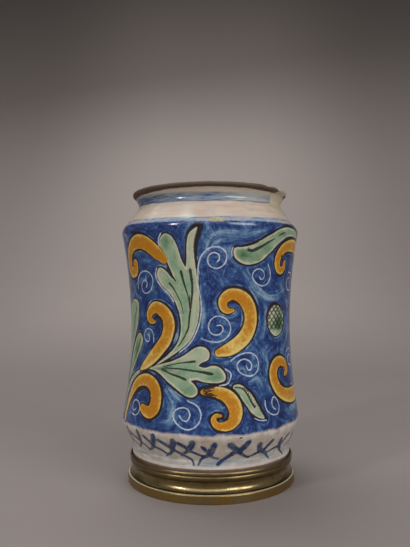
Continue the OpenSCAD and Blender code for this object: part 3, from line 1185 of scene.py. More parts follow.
@dataclass(frozen=True)
class PaintedGlaze:
    """White tin glaze, painted in blue, ochre, green and ink, worn at the rim, with a painted highlight and
    painted shade on the foot.

    Heights are in millimetres above the table, and a band is given by its two edges. A cover is the
    share of what lies under a coat that the coat hides.
    """

    white: Colour = srgb(201, 190, 176)
    bright_white: Colour = srgb(218, 211, 203)
    pink_white: Colour = srgb(202, 158, 134)
    warm_white: Colour = srgb(196, 168, 148)
    cool_white: Colour = srgb(166, 174, 178)
    olive_white: Colour = srgb(186, 176, 154)
    steel_blue: Colour = srgb(54, 82, 118)
    turquoise: Colour = srgb(136, 158, 164)
    rust: Colour = srgb(186, 142, 108)
    made_good: Colour = srgb(192, 178, 146)
    stain: Colour = srgb(158, 150, 124)
    tinge: Colour = srgb(122, 138, 146)
    tan: Colour = srgb(112, 90, 76)
    clay: Colour = srgb(86, 67, 56)
    dark_clay: Colour = srgb(72, 54, 44)
    maroon: Colour = srgb(86, 56, 50)
    bare_clay: Colour = srgb(146, 144, 118)
    deepest_blue: Colour = srgb(24, 36, 84)
    deep_blue: Colour = srgb(38, 60, 114)
    blue: Colour = srgb(55, 89, 140)
    pale_blue: Colour = srgb(98, 130, 162)
    wash_blue: Colour = srgb(148, 170, 188)
    burnt: Colour = srgb(150, 84, 22)
    orange: Colour = srgb(189, 123, 26)
    ochre: Colour = srgb(210, 159, 54)
    yellow: Colour = srgb(224, 196, 116)
    dark_green: Colour = srgb(64, 106, 66)
    green: Colour = srgb(118, 158, 126)
    pale_green: Colour = srgb(166, 180, 150)
    leaf_cream: Colour = srgb(200, 194, 168)
    ink: Colour = srgb(38, 30, 30)
    brown_ink: Colour = srgb(96, 54, 30)
    scratch: Colour = srgb(198, 204, 218)
    cross_blue: Colour = srgb(42, 58, 98)
    cross_halo: Colour = srgb(128, 148, 156)
    ink_cover: float = 0.93
    leaf_ink_cover: float = 0.92
    hatching_cover: float = 0.85
    halo_cover: float = 0.55
    pink_cover: float = 0.5
    stain_cover: float = 0.8
    maroon_cover: float = 0.85
    spots_cover: float = 0.6
    olive_cover: float = 0.6
    made_good_cover: float = 0.65
    seam_cover: float = 0.35
    specks_cover: float = 0.7
    ground_tone: float = 0.41
    roughness: float = 0.16
    worn_roughness: float = 0.5
    refraction: float = 1.5
    relief: float = 0.1
    clay_edge: float = 23.0
    # Below this height the foot is painted dark maroon, as painted shade where it goes into the brass lip
    lip_shade_edge: float = 24.4
    # Band around the foot where a bright white line is painted as its highlight
    foot_highlight: Band = (25.2, 27.2)
    foot_tinge: Band = (26.6, 31.2)
    foot_pink: float = 27.0
    heel_specks: Band = (46.6, 51.0)
    foot_top: float = 52.0
    ground_band: Band = (51.6, 208.6)
    inside_stain: float = 80.0
    sponged_from: float = 203.0
    shoulder_band: Band = (207.4, 211.6)
    shoulder_line: Band = (210.8, 212.2)
    rusty_band: Band = (219.0, 224.8)
    neck_line: Band = (224.8, 226.0)
    neck_band: Band = (225.4, 232.0)
    olive_from: float = 231.6
    rim_specks: Band = (234.6, 237.6)
    rim_from: float = 235.8
    rim_rubbed_from: float = 237.4
    rim_top: float = 238.6

    def material(self) -> bpy.types.Material:
        """Builds the glaze's nodes.

        Returns:
            The material.
        """
        graph = GlazeGraph("painted_glaze")
        ragged = graph.level + graph.noise(2.4, 3.0) * 1.6
        smear = graph.noise(11.0, 2.0) * 3.5 + graph.noise(3.0, at=graph.place((1.0, 1.0, 0.3))) * 2.0
        low, high = self.ground_band
        painted = ragged.below(high, 0.8) * (graph.level + smear).above(low, 1.3)
        colour = self._bands(graph, self._white(graph))
        colour = graph.mix(painted, colour, self._ground(graph))
        colour = self._scrolls(graph, self._leaves(graph, colour))

        ink = self._line(graph, Layer.INK_SIDE, Layer.INK_FAR)
        scratch = self._line(graph, Layer.SCRATCH_SIDE, Layer.SCRATCH_FAR)
        scratch_strength = (graph.noise(3.0, 3.0) * 1.7 + 0.8).least(1.0)
        halo = (graph.layer(Layer.CROSS_FAR) + graph.noise(3.0, 3.0) * 2.0).below(0.4, 1.0)
        cross = self._line(graph, Layer.CROSS_SIDE, Layer.CROSS_FAR)
        cross_strength = 0.92 + graph.noise(4.5, 3.0) * 1.1
        colour = graph.lay(
            colour,
            (ink * self.ink_cover, self.ink),
            (scratch * scratch_strength, self.scratch),
            (halo * self.halo_cover, self.cross_halo),
            (cross * cross_strength, self.cross_blue),
        )
        outside = graph.layer(Layer.OUTSIDE).above(0.5, 0.2)
        colour = graph.mix(outside, self._lining(graph), colour)
        colour, wear_and_sheen = self._wear(graph, colour)

        peel = graph.noise(2.6, 1.0) * 0.5 + graph.noise(9.0, 1.0)
        relief = peel * 0.5 + ink * 0.25 - scratch * 0.5 + wear_and_sheen * graph.noise(1.1, 3.0) * 3.0
        roughness = self.roughness + graph.noise(6.0) * 0.08 + wear_and_sheen * self.worn_roughness
        sockets = {"Base Color": colour, "Roughness": roughness, "IOR": self.refraction}
        return graph.finish(relief, self.relief * MM, sockets)

    def _white(self, graph: GlazeGraph) -> Value:
        """Gives the white glaze, with warm and cool clouds, a painted highlight around the foot and painted
        shade at its lower edge.

        Args:
            graph: The graph.

        Returns:
            Its colour.
        """
        turned = graph.noise(2.2, 3.0, graph.place((0.12, 0.12, 1.0)))
        foot = graph.height.below(self.foot_top, 2.0)
        low = graph.height.below(self.foot_pink, 3.0)
        warm = (graph.noise(12.0, 3.0) * 2.0 + turned * 1.6 + 0.35).most(0.0)
        cool = (graph.noise(8.0, 3.0) * 1.3 + turned * 0.9 + 0.02).most(0.0)
        bright = (graph.noise(7.0, 4.0) * 3.0 + 0.35).most(0.0) * foot
        pink = (graph.noise(9.0, 4.0) * 3.2 - 0.25 + low * 0.5).most(0.0) * foot
        stain = (graph.noise(5.0, 4.0) * 3.0 - 0.1).most(0.0) * foot
        # Painted highlight: a bright white line around the foot
        line = graph.height.between(*self.foot_highlight, 0.6) * (turned * 2.0 + 0.5).most(0.0)
        # Painted shade: dark maroon at the foot's lower edge, where it goes into the brass lip
        bare = (graph.height + turned * 1.2).below(self.lip_shade_edge, 0.4)
        tinge = graph.height.between(*self.foot_tinge, 1.2) * (turned * 2.6 + 0.4).most(0.0)
        return graph.lay(
            self.white,
            (warm, self.warm_white),
            (cool, self.cool_white),
            (bright, self.bright_white),
            (pink * self.pink_cover, self.pink_white),
            (stain * self.stain_cover, self.stain),
            # painted highlight around the foot
            (line, self.bright_white),
            # painted shade where the foot goes into the brass lip
            (bare * self.maroon_cover, self.maroon),
            (tinge, self.tinge),
        )

    def _lining(self, graph: GlazeGraph) -> Value:
        """Gives the plain glaze inside, stained by what the jar held, and the clay under the foot.

        Args:
            graph: The graph.

        Returns:
            Its colour.
        """
        runs = graph.noise(5.0, 3.0, graph.place((1.0, 1.0, 0.15)))
        low = graph.height.below(self.inside_stain, 60.0)
        stained = graph.noise(16.0, 4.0) * 1.6 + runs * 1.2 + low * 0.5 + 0.15
        spots = graph.noise(1.9, 2.0).above(0.27, 0.05)
        glaze = graph.lay(
            self.olive_white, (stained.most(0.0), self.stain), (spots * self.spots_cover, self.rust)
        )
        clay = graph.mix(graph.noise(3.0, 4.0) * 1.8 + 0.4, self.rust, self.tan)
        return graph.mix(graph.height.below(self.clay_edge, 0.6), glaze, clay)

    def _bands(self, graph: GlazeGraph, colour: Value) -> Value:
        """Lays the blue bands around the neck and the shoulder.

        Args:
            graph: The graph.
            colour: What is there already.

        Returns:
            The new colour.
        """
        brushed, level = graph.brushed, graph.level
        bristles = graph.noise(0.9, 3.0, brushed)
        join = graph.layer(Layer.BARE) + graph.noise(2.5, 3.0) * 8.0 + graph.noise(9.0) * 14.0
        bare = join.below(0.0, 0.6)
        strength = graph.layer(Layer.NECK_BLUE)
        neck_low, neck_high = self.neck_band
        neck = level.above(neck_low, 0.5) * level.below(neck_high, 1.7)
        neck = neck * (0.5 + strength * 0.4 + bristles * 0.9) * bare
        deep = graph.noise(5.0, 2.0, brushed) * 1.2 + bristles * 1.3 + strength * 1.3 - 0.4
        line = level.between(*self.neck_line, 0.5) * (bristles * 1.2 + 0.5) * bare
        swept = bristles * 1.9 + graph.noise(6.0, at=brushed) * 1.4 + 0.62
        shoulder = level.between(*self.shoulder_band, 0.7) * swept
        broken = level.between(*self.shoulder_line, 0.5) * (bristles * 2.6 + 0.4)
        rust = (graph.noise(4.0, 3.0, brushed) * 1.5 + 0.05).most(0.0)
        rusty = level.between(*self.rusty_band, 2.0) * rust
        seam = join.between(-0.6, 0.4, 0.4) * self.seam_cover * level.above(self.rusty_band[0], 1.0)
        return graph.lay(
            colour,
            (level.above(self.olive_from, 1.2) * self.olive_cover, self.olive_white),
            (rusty, self.rust),
            ((1 - bare) * self.made_good_cover, self.made_good),
            (seam, self.dark_clay),
            (neck, graph.mix(deep, self.turquoise, self.steel_blue)),
            (line, self.deep_blue),
            (shoulder, graph.mix(0.45, self.pale_blue, self.wash_blue)),
            (broken, self.blue),
        )

    def _ground(self, graph: GlazeGraph) -> Value:
        """Gives the brushed blue ground, whose strokes follow the forms that they leave bare.

        Args:
            graph: The graph.

        Returns:
            Its colour.
        """
        flow = graph.layer(Layer.FLOW)
        wash = graph.layer(Layer.WASH)
        waver = flow + graph.noise(7.0) * 2.5
        streaks = graph.noise(30.0, 2.0, flow=waver * 8.0)
        fine = graph.noise(16.0, 3.0, flow=waver * 11.0)
        near = flow.below(5.0, 3.0)
        dabbed = self._dabs(graph, 17.0) + self._dabs(graph, 9.0)
        patch = graph.noise(13.0, 2.0)
        high = graph.height.above(self.sponged_from, 5.0)
        sponge = graph.noise(1.4, 3.0) * (0.6 - patch * 1.6 + high * 0.6).most(0.2)
        specks = graph.noise(1.1, 1.0).above(0.2, 0.05) * (0.5 - patch * 2.0 + high).most(0.0)
        forms = graph.layer(Layer.SCROLL_INK).least(graph.layer(Layer.LEAF_INK))
        bare = forms.between(0.5, 1.5, 0.5) * (graph.noise(9.0, 2.0) * 2.6 + 0.3).most(0.0)
        strokes = (streaks * 0.8 + fine * 0.9) * (near * 0.6 + 0.4) + dabbed * (0.95 - near * 0.5)
        tone = self.ground_tone + strokes * 1.2 + sponge * 0.5 + patch * 0.6 + wash * 0.36
        tone = tone + specks * 0.16 - high * 0.1 + bare * 0.55
        stops = (
            (0.08, self.deepest_blue),
            (0.32, self.deep_blue),
            (0.52, self.blue),
            (0.74, self.pale_blue),
            (0.98, self.wash_blue),
        )
        return graph.ramp(tone, stops)

    @staticmethod
    def _dabs(graph: GlazeGraph, reach: float) -> Value:
        """Gives patches of short strokes, each in a direction of its own.

        Args:
            graph: The graph.
            reach: The size of a patch in millimetres.

        Returns:
            Strokes about 0.
        """
        sockets = {"Vector": graph.at, "Scale": 1 / 5.0}
        cloud = graph.node("ShaderNodeTexNoise", sockets=sockets, output="Color")
        shaken = graph.vector("ADD", graph.at, graph.vector("MULTIPLY", cloud, (reach, reach, reach)))
        sockets = {"Vector": shaken, "Scale": 1 / reach}
        patches = graph.node("ShaderNodeTexVoronoi", sockets=sockets, output="Color")
        across = graph.vector("NORMALIZE", graph.vector("SUBTRACT", patches, (0.5, 0.5, 0.5)))
        along = graph.vector("DOT_PRODUCT", graph.at, across, "Value")
        return graph.noise(22.0, 3.0, flow=along * 9.0)

    def _leaves(self, graph: GlazeGraph, colour: Value) -> Value:
        """Lays the green leaves, pale along their edges.

        Args:
            graph: The graph.
            colour: What is there already.

        Returns:
            The new colour.
        """
        edge = graph.layer(Layer.LEAF) + graph.tremor * 0.7
        inked = graph.layer(Layer.LEAF_INK) + graph.tremor * 1.8 + graph.noise(11.0) * 3.0 - 0.85
        depth = edge * -1.0 + graph.noise(7.0, 3.0) * 5.0
        brushed = graph.noise(24.0, 3.0, flow=edge * 12.0)
        full = graph.noise(8.0, 3.0) * 1.6 + brushed * 0.9 + 0.45
        dab = graph.layer(Layer.DAB) + brushed * 0.5
        dark = dab * 0.8 + graph.noise(2.6, 4.0) * 0.7 - 0.02
        light = dab * -1.1 + graph.noise(3.0, 3.0) * 0.5 - 0.05
        green = graph.lay(
            self.pale_green,
            (full, self.green),
            (dark.most(0.0), self.dark_green),
            (light.most(0.0), self.leaf_cream),
        )
        hatched = self._hatching(graph) * self.hatching_cover
        leaf = graph.lay(self.leaf_cream, (depth.above(1.0, 1.0), green), (hatched, self.ink))
        lines = inked.below(0.0, 0.45) * self.leaf_ink_cover
        return graph.lay(colour, (lines, self.ink), (edge.below(0.0, 0.25), leaf))

    def _hatching(self, graph: GlazeGraph) -> Value:
        """Gives the crossed lines on the bud.

        Args:
            graph: The graph.

        Returns:
            The mask from 0 to 1.
        """
        around = graph.layer(Layer.AROUND) - BUD_MIDDLE[0]
        up = graph.height - BUD_MIDDLE[1]
        waver = graph.noise(2.5, 3.0) * 0.35
        lines = []
        for slant in (1.0, -1.0):
            across = (around + up * slant) * (1 / BUD_PITCH)
            lines.append((graph.math("PINGPONG", across, 0.5) + waver).below(0.17, 0.06))
        near = around.size().below(BUD_HALF, 0.5) * up.between(HATCH_FOOT, BUD_HALF, 1.0)
        return lines[0].most(lines[1]) * near

    def _scrolls(self, graph: GlazeGraph, colour: Value) -> Value:
        """Lays the ochre scrolls, orange in the middle and yellow toward edge and tail.

        Args:
            graph: The graph.
            colour: What is there already.

        Returns:
            The new colour.
        """
        edge = graph.layer(Layer.SCROLL) + graph.tremor * 0.5
        inked = graph.layer(Layer.SCROLL_INK) + graph.tremor * 1.8 + graph.noise(9.0) * 2.8 - 0.85
        cloud = graph.noise(2.2, 4.0) * 1.5 + graph.noise(9.0) * 0.9
        pale = graph.layer(Layer.TAIL) * 0.75 + edge.above(-1.4, 1.8) * 0.42 + cloud * 0.9 + 0.04
        burnt = (graph.noise(1.1, 2.0) * 3.2 - 0.2 - pale * 0.6).most(0.0)
        ochre = graph.lay(
            self.orange,
            (pale.most(0.0), self.ochre),
            ((pale * 1.5 - 0.6).most(0.0), self.yellow),
            (burnt, self.burnt),
        )
        return graph.lay(
            colour,
            (inked.below(0.0, 0.45) * self.ink_cover, self.ink),
            (edge.below(0.25, 0.2), self.brown_ink),
            (edge.below(0.0, 0.25), ochre),
        )

    def _line(self, graph: GlazeGraph, side: Layer, far: Layer) -> Value:
        """Gives a narrow line's mask.

        Args:
            graph: The graph.
            side: The layer that keeps how far across the line a point is.
            far: The layer that keeps the distance from its edge.

        Returns:
            The mask from 0 to 1.
        """
        across = graph.layer(side).size() + graph.tremor * 1.4
        return across.below(1.0, 0.25) * graph.layer(far).below(0.5, 0.12)

    def _wear(self, graph: GlazeGraph, colour: Value) -> tuple[Value, Value]:
        """Wears the rim down to the clay, loses glaze in places and adds kiln specks.

        Args:
            graph: The graph.
            colour: What is there already.

        Returns:
            The new colour, and how worn the glaze is from 0 to 1.
        """
        ragged = graph.height - graph.layer(Layer.RISE) * 0.6 + graph.noise(7.0, 3.0) * 1.0
        patched = (graph.layer(Layer.BARE) + graph.noise(2.6, 4.0) * 30.0).above(8.0, 3.0)
        rim = ragged.above(self.rim_from, 0.3) * (1 - patched * 0.85)
        rubbed = graph.noise(1.6, 4.0, graph.place((0.35, 0.35, 1.0))) * 1.5
        mottled = graph.noise(1.5, 4.0)
        deep = 0.75 - ragged.above(self.rim_rubbed_from, 0.8) * 0.6
        deep = deep + rubbed * 1.2 + mottled * 1.8 + graph.noise(14.0) * 0.8
        clay = graph.lay(
            self.clay,
            (deep.most(0.0), self.dark_clay),
            (graph.height.above(self.rim_top, 0.5) * (0.6 + rubbed * 1.6), self.tan),
            ((mottled * 4.0 - 0.75).most(0.0), self.made_good),
        )
        lost = (graph.layer(Layer.CHIP) + graph.noise(2.4, 4.0) * 1.6).above(0.3, 0.12)
        bared = graph.mix(graph.noise(1.5, 3.0) * 2.6 + 0.25, self.bare_clay, self.white)
        edge = graph.height.between(*self.heel_specks, 1.0) + graph.height.between(*self.rim_specks, 0.6)
        specks = (graph.noise(1.7, 2.0) + edge * 0.1).above(0.31, 0.04)
        colour = graph.lay(colour, (rim, clay), (lost, bared), (specks * self.specks_cover, self.brown_ink))
        return colour, rim.most(lost)


@dataclass(frozen=True)
class TurnedBrass:
    """Old turned brass, toned brown, with fine marks around it from the lathe, a painted highlight along its
    ledge, and grime with painted shade on its lip.
    """

    bright: Colour = srgb(166, 148, 106)
    toned: Colour = srgb(126, 106, 68)
    dark: Colour = srgb(66, 52, 34)
    warm: Colour = srgb(172, 136, 66)
    # Pale colour painted along the ledge as its highlight
    wear_and_sheen: Colour = srgb(210, 198, 168)
    plinth_top: float = 6.2
    ledge: Band = (6.5, 6.72)
    groove: Band = (6.7, 7.6)
    # Above this height the lip is darker: grime, and painted shade where it meets the jar
    lip_from: float = 15.6
    roughness: float = 0.25
    relief: float = 0.04

    def material(self) -> bpy.types.Material:
        """Builds the brass's nodes.

        Returns:
            The material.
        """
        graph = Graph("turned_brass")
        marks = graph.noise(0.35, 3.0, graph.place((0.03, 0.03, 1.0)))
        cloud = graph.noise(9.0, 4.0)
        spots = graph.noise(1.8, 2.0).above(0.24, 0.06)
        plinth = graph.height.below(self.plinth_top, 0.3)
        ledge = graph.height.between(*self.ledge, 0.08)
        lip = graph.height.above(self.lip_from, 0.4)
        colour = graph.lay(
            self.bright,
            (cloud * 1.6 + marks * 0.7 + 0.5, self.toned),
            ((cloud * 1.5 - 0.1).most(0.0) + spots * 0.6, self.dark),
            (plinth * (0.45 + cloud * 2.2), self.warm),
            (graph.height.between(*self.groove, 0.1) * 0.8, self.dark),
            # Painted highlight: the ledge made pale
            (ledge, self.wear_and_sheen),
            # Grime and painted shade: the lip darker
            (lip * 0.35, self.dark),
        )
        roughness = self.roughness + marks * 0.18 + cloud * 0.16 + spots * 0.2
        roughness = roughness + plinth * 0.14 + lip * 0.1 + ledge * 0.25
        # Less metallic along the ledge, for its painted highlight
        sockets = {"Base Color": colour, "Roughness": roughness, "Metallic": 1 - ledge * 0.7}
        return graph.finish(marks + cloud * 0.3, self.relief * MM, sockets)


@dataclass(frozen=True)
class PressedCork:
    """Pressed cork, made of pale grains with dark seams between them."""

    pale: Colour = srgb(196, 158, 112)
    brown: Colour = srgb(142, 102, 66)
    seam: Colour = srgb(78, 52, 34)
    grain: float = 1.6
    roughness: float = 0.85
    relief: float = 1.5

    def material(self) -> bpy.types.Material:
        """Builds the cork's nodes.

        Returns:
            The material.
        """
        graph = Graph("pressed_cork")
        sockets = {"Vector": graph.at, "Scale": 1 / self.grain}
        grains = graph.node("ShaderNodeTexVoronoi", {"feature": "DISTANCE_TO_EDGE"}, sockets)
        mottled = graph.noise(2.0, 3.0) * 2.0 + 0.5
        colour = graph.lay(self.pale, (mottled, self.brown), (grains.below(0.06, 0.04), self.seam))
        roughness = self.roughness + graph.noise(1.0) * 0.1
        sockets = {"Base Color": colour, "Roughness": roughness}
        return graph.finish(grains.least(0.15), self.relief * MM, sockets)


@dataclass(frozen=True)
class StudioPaper:
    """The warm grey paper that the object stands on. Its wall is painted lighter, with a painted glow behind
    the object and painted shade high up. Places are in millimetres.
    """

    paper: Colour = srgb(134, 125, 122)
    cloud: Colour = srgb(129, 120, 117)
    # Painted light: the wall lighter than the floor, painted shade high up, and a painted glow behind the
    # object
    wall: Colour = srgb(166, 156, 152)
    shade: Colour = srgb(98, 92, 88)
    glow: Colour = srgb(226, 214, 208)
    wall_at: float = 1300.0
    shade_from: float = 1150.0
    glow_top: float = 1500.0
    glow_band: Band = (480.0, 950.0)
    glow_half: float = 450.0
    glow_from: float = 800.0
    roughness: float = 0.9
    relief: float = 0.02

    def material(self) -> bpy.types.Material:
        """Builds the paper's nodes.

        Returns:
            The material.
        """
        graph = Graph("studio_paper")
        side, depth = graph.axis("X").size(), graph.axis("Y")
        # A painted glow on the paper behind the object
        glow = graph.height.below(self.glow_top, 400.0) * 0.22
        glow = glow + graph.height.between(*self.glow_band, 250.0) * 0.24
        lit = side.below(self.glow_half, 300.0) * depth.above(self.glow_from, 300.0)
        colour = graph.lay(
            self.paper,
            (graph.noise(120.0) + 0.5, self.cloud),
            # painted light on the wall, and painted shade high up
            (depth.above(self.wall_at, 900.0), self.wall),
            (graph.height.above(self.shade_from, 600.0), self.shade),
            (lit * glow, self.glow),
        )
        roughness = self.roughness + graph.noise(60.0) * 0.05
        sockets = {"Base Color": colour, "Roughness": roughness}
        return graph.finish(graph.noise(0.8), self.relief * MM, sockets)


# The jar


def arc(centre: Point, radius: float, start: float, stop: float, steps: int) -> np.ndarray:
    """Gives points of a round stretch.

    Args:
        centre: The middle of the round.
        radius: Its radius.
        start: The direction of its first point, in degrees.
        stop: The direction of its last point, in degrees.
        steps: How many steps it has.

    Returns:
        One row of radius and height for each point.
    """
    turns = np.radians(np.linspace(start, stop, steps + 1))
    return np.array(centre) + radius * np.column_stack((np.cos(turns), np.sin(turns)))


def bow(first: Sequence[float], second: Sequence[float], rise: float, steps: int) -> np.ndarray:
    """Gives points of a circular sweep between two points.

    Args:
        first: Where the sweep starts.
        second: Where it ends.
        rise: How far it stands off the chord, to the left.
        steps: How many steps it has.

    Returns:
        One row of radius and height for each point.
    """
    start, stop = np.array(first), np.array(second)
    chord = np.linalg.norm(stop - start)
    ahead = (stop - start) / chord
    across = np.array((-ahead[1], ahead[0]))
    radius = (chord**2 / 4 + rise**2) / (2 * rise)
    centre = (start + stop) / 2 + across * (rise - radius)
    half = math.asin(chord / (2 * abs(radius)))
    turns = np.linspace(-half, half, steps + 1)[:, None]
    return centre + across * radius * np.cos(turns) + ahead * abs(radius) * np.sin(turns)


@dataclass
class Jar:
    """The thrown, painted jar. Sizes are in millimetres, as in the part's source."""

    name: str = "jar_painted"
    lift: float = 19.5
    height: float = 220.4
    wall: float = 5.5
    floor: float = 7.5
    corner: float = 16.0
    corner_bulge: float = 3.2
    rim_out: float = 5.2
    rim_edge: float = 3.0
    rim_round: float = 1.1
    neck_r: float = 61.1
    neck_drop: float = 10.6
    cove_round: float = 7.0
    shoulder_r: float = 75.2
    shoulder_drop: float = 34.2
    shoulder_round: float = 8.5
    shoulder_slope: float = 40.0
    waist_r: float = 67.8
    wall_lean: float = 9.0
    heel_r: float = 74.8
    heel_h: float = 31.4
    heel_round: float = 8.0
    heel_under: float = -27.0
    foot_r: float = 66.0
    foot_round: float = 1.0
    foot_bulge: float = 0.5
    ankle_inset: float = 0.5
    ankle_h: float = 11.5
    recess: float = 2.5
    foot_ring: float = 9.5
    axis_gap: float = 0.4
    # Marks of the hand and of use: depths, and middles and reaches around the jar and up it
    oval: float = 0.08
    oval_twist: float = 60.0
    lobes: float = 0.04
    lobe_count: int = 5
    lobes_twist: float = 25.0
    rings: float = 0.05
    ring_pitch: float = 2.1
    inset: float = 0.05
    body_from: Band = (14.0, 34.0)
    full_from: Band = (0.0, 60.0)
    shoulder_lean: float = 0.8
    shoulder_lean_at: Point = (195.0, 6.0)
    neck_lean: float = 0.45
    neck_lean_from: Band = (208.0, 216.0)
    dent: float = 1.9
    dent_middle: Point = (104.0, 27.5)
    dent_reach: Point = (24.0, 5.5)
    break_middle: float = 66.0
    break_reach: float = 13.0
    break_in: float = 0.9
    break_down: float = 1.7
    chips: tuple[tuple[float, float, float], ...] = ((0.6, -118.0, 4.0), (0.5, 150.0, 6.0))
    rough: float = 0.09
    rough_waves: tuple[int, int] = (7, 11)
    teeth: Point = (1.3, 0.9)
    columns: int = 400
    flat_margin: float = 0.01
    glaze: PaintedGlaze = field(default_factory=PaintedGlaze)

    @property
    def neck_h(self) -> float:
        """The height of the neck's narrowest place."""
        return self.height - self.neck_drop

    @property
    def shoulder_at(self) -> Point:
        """The middle of the shoulder's round."""
        return self.shoulder_r - self.shoulder_round, self.height - self.shoulder_drop

    @property
    def cove_at(self) -> Point:
        """The middle of the cove under the neck."""
        return self.neck_r + self.cove_round, self.neck_h

    def build(self) -> bpy.types.Object:
        """Throws the jar, paints it and puts it on its body.

        Returns:
            The jar's object.
        """
        profile = self._profile()
        radius, height = profile.T
        turns = (np.arange(self.columns) / self.columns - 0.5) * 2 * math.pi
        turn_grid, radius_grid = np.meshgrid(turns, radius)
        height_grid = np.repeat(height[:, None], self.columns, axis=1)
        outside = self._outside_rows(profile)
        radius_grid, dropped = self._throw(turn_grid, radius_grid, height_grid, outside)
        points = np.stack(
            (radius_grid * np.sin(turn_grid), -radius_grid * np.cos(turn_grid), dropped + self.lift), axis=-1
        )
        jar = self._mesh(points.reshape(-1, 3) * MM, len(profile))
        painting = Painting(turn_grid.ravel() * ROLL_R, height_grid.ravel() + self.lift)
        layers = painting.paint()
        layers[Layer.OUTSIDE] = np.repeat(outside, self.columns)
        self._keep(jar.data, layers)
        jar.data.materials.append(self.glaze.material())
        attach(jar, Body.JAR.value)
        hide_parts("jar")
        return jar

    def _profile(self) -> np.ndarray:
        """Gives half the jar's section, from under the foot over the rim to the floor inside.

        Returns:
            One row of radius and height for each point.
        """
        return np.vstack((self._outside(), self._inside()))

    def _outside(self) -> np.ndarray:
        """Gives the section's outside, from the middle of the underside to the rim.

        Returns:
            One row of radius and height for each point.
        """
        recess_r = self.foot_r - self.foot_round - self.foot_ring - self.recess
        heel_at = (self.heel_r - self.heel_round, self.heel_h)
        heel = arc(heel_at, self.heel_round, self.heel_under, self.wall_lean, 8)
        shoulder = arc(self.shoulder_at, self.shoulder_round, -self.wall_lean, self.shoulder_slope, 9)
        ankle = (self.foot_r - self.ankle_inset, self.ankle_h)
        cove = arc(self.cove_at, self.cove_round, 180 + self.shoulder_slope, 180, 9)
        rim_r = self.neck_r + self.rim_out
        edge_h = self.height - self.rim_edge
        rim_foot = (rim_r - self.rim_round / 2, edge_h)
        waist_rise = (heel[-1, 0] + shoulder[0, 0]) / 2 - self.waist_r
        stretches = (
            self._straight((self.axis_gap, self.recess), (recess_r, self.recess), 5),
            self._straight((recess_r, self.recess), (recess_r + self.recess, 0.0), 2),
            self._straight((recess_r + self.recess, 0.0), (self.foot_r - self.foot_round, 0.0), 3),
            arc((self.foot_r - self.foot_round, self.foot_round), self.foot_round, -90, 0, 4),
            bow((self.foot_r, self.foot_round), ankle, -self.foot_bulge, 12),
            self._straight(ankle, heel[0], 18),
            heel,
            bow(heel[-1], shoulder[0], waist_rise, 156),
            shoulder,
            self._straight(shoulder[-1], cove[0], 6),
            cove,
            bow((self.neck_r, self.neck_h), rim_foot, self.rim_round / 2, 12),
            self._straight(rim_foot, (rim_r, edge_h + self.rim_round / 2), 1),
            self._straight((rim_r, edge_h + self.rim_round / 2), (rim_r, self.height - self.rim_round), 3),
            arc((rim_r - self.rim_round, self.height - self.rim_round), self.rim_round, 0, 90, 4),
        )
        return self._joined(stretches)

    def _inside(self) -> np.ndarray:
        """Gives the section's inside, from the top of the rim to the middle of the floor.

        Returns:
            One row of radius and height for each point.
        """
        mouth_r = self.neck_r - self.wall
        inner_round = self.shoulder_round - self.wall
        shoulder = arc(self.shoulder_at, inner_round, self.shoulder_slope, -self.wall_lean, 5)
        cove = arc(self.cove_at, self.cove_round + self.wall, 180, 180 + self.shoulder_slope, 7)
        inset = (self.wall - self.heel_round) * math.cos(math.radians(self.wall_lean))
        heel_at = (self.heel_r - self.heel_round - inset, self.heel_h)
        floor_h = self.recess + self.floor
        corner_at = (heel_at[0] - self.corner, floor_h)
        waist_rise = self.waist_r - self.wall - (shoulder[-1, 0] + heel_at[0]) / 2
        stretches = (
            arc((mouth_r + self.rim_round, self.height - self.rim_round), self.rim_round, 90, 180, 4),
            self._straight((mouth_r, self.height - self.rim_round), (mouth_r, self.neck_h), 6),
            cove,
            shoulder,
            bow(shoulder[-1], heel_at, waist_rise, 24),
            bow(heel_at, corner_at, self.corner_bulge, 6),
            self._straight(corner_at, (self.axis_gap, floor_h), 6),
        )
        return self._joined(stretches)

    @staticmethod
    def _straight(first: Sequence[float], second: Sequence[float], steps: int) -> np.ndarray:
        """Gives points of a straight stretch.

        Args:
            first: Where it starts.
            second: Where it ends.
            steps: How many steps it has.

        Returns:
            One row of radius and height for each point.
        """
        return np.linspace(np.array(first, float), np.array(second, float), steps + 1)

    @staticmethod
    def _joined(stretches: Sequence[np.ndarray]) -> np.ndarray:
        """Joins stretches into one line.

        Args:
            stretches: The stretches, in order.

        Returns:
            Their points, without the ones that meet.
        """
        line = [stretches[0][0]]
        for point in np.vstack(stretches):
            if np.linalg.norm(point - line[-1]) > MEETING:
                line.append(point)
        return np.array(line)

    def _outside_rows(self, profile: np.ndarray) -> np.ndarray:
        """Tells which rows of the section are on the outside, above the foot's lower edge.

        Args:
            profile: One row of radius and height for each point.

        Returns:
            1 for each row on the outside, and 0 for the others.
        """
        top = int(profile[:, 1].argmax())
        rows = np.zeros(len(profile))
        first = int(np.flatnonzero(profile[:, 0] >= self.foot_r - SLACK)[0])
        rows[first:top + 1] = 1.0
        return rows

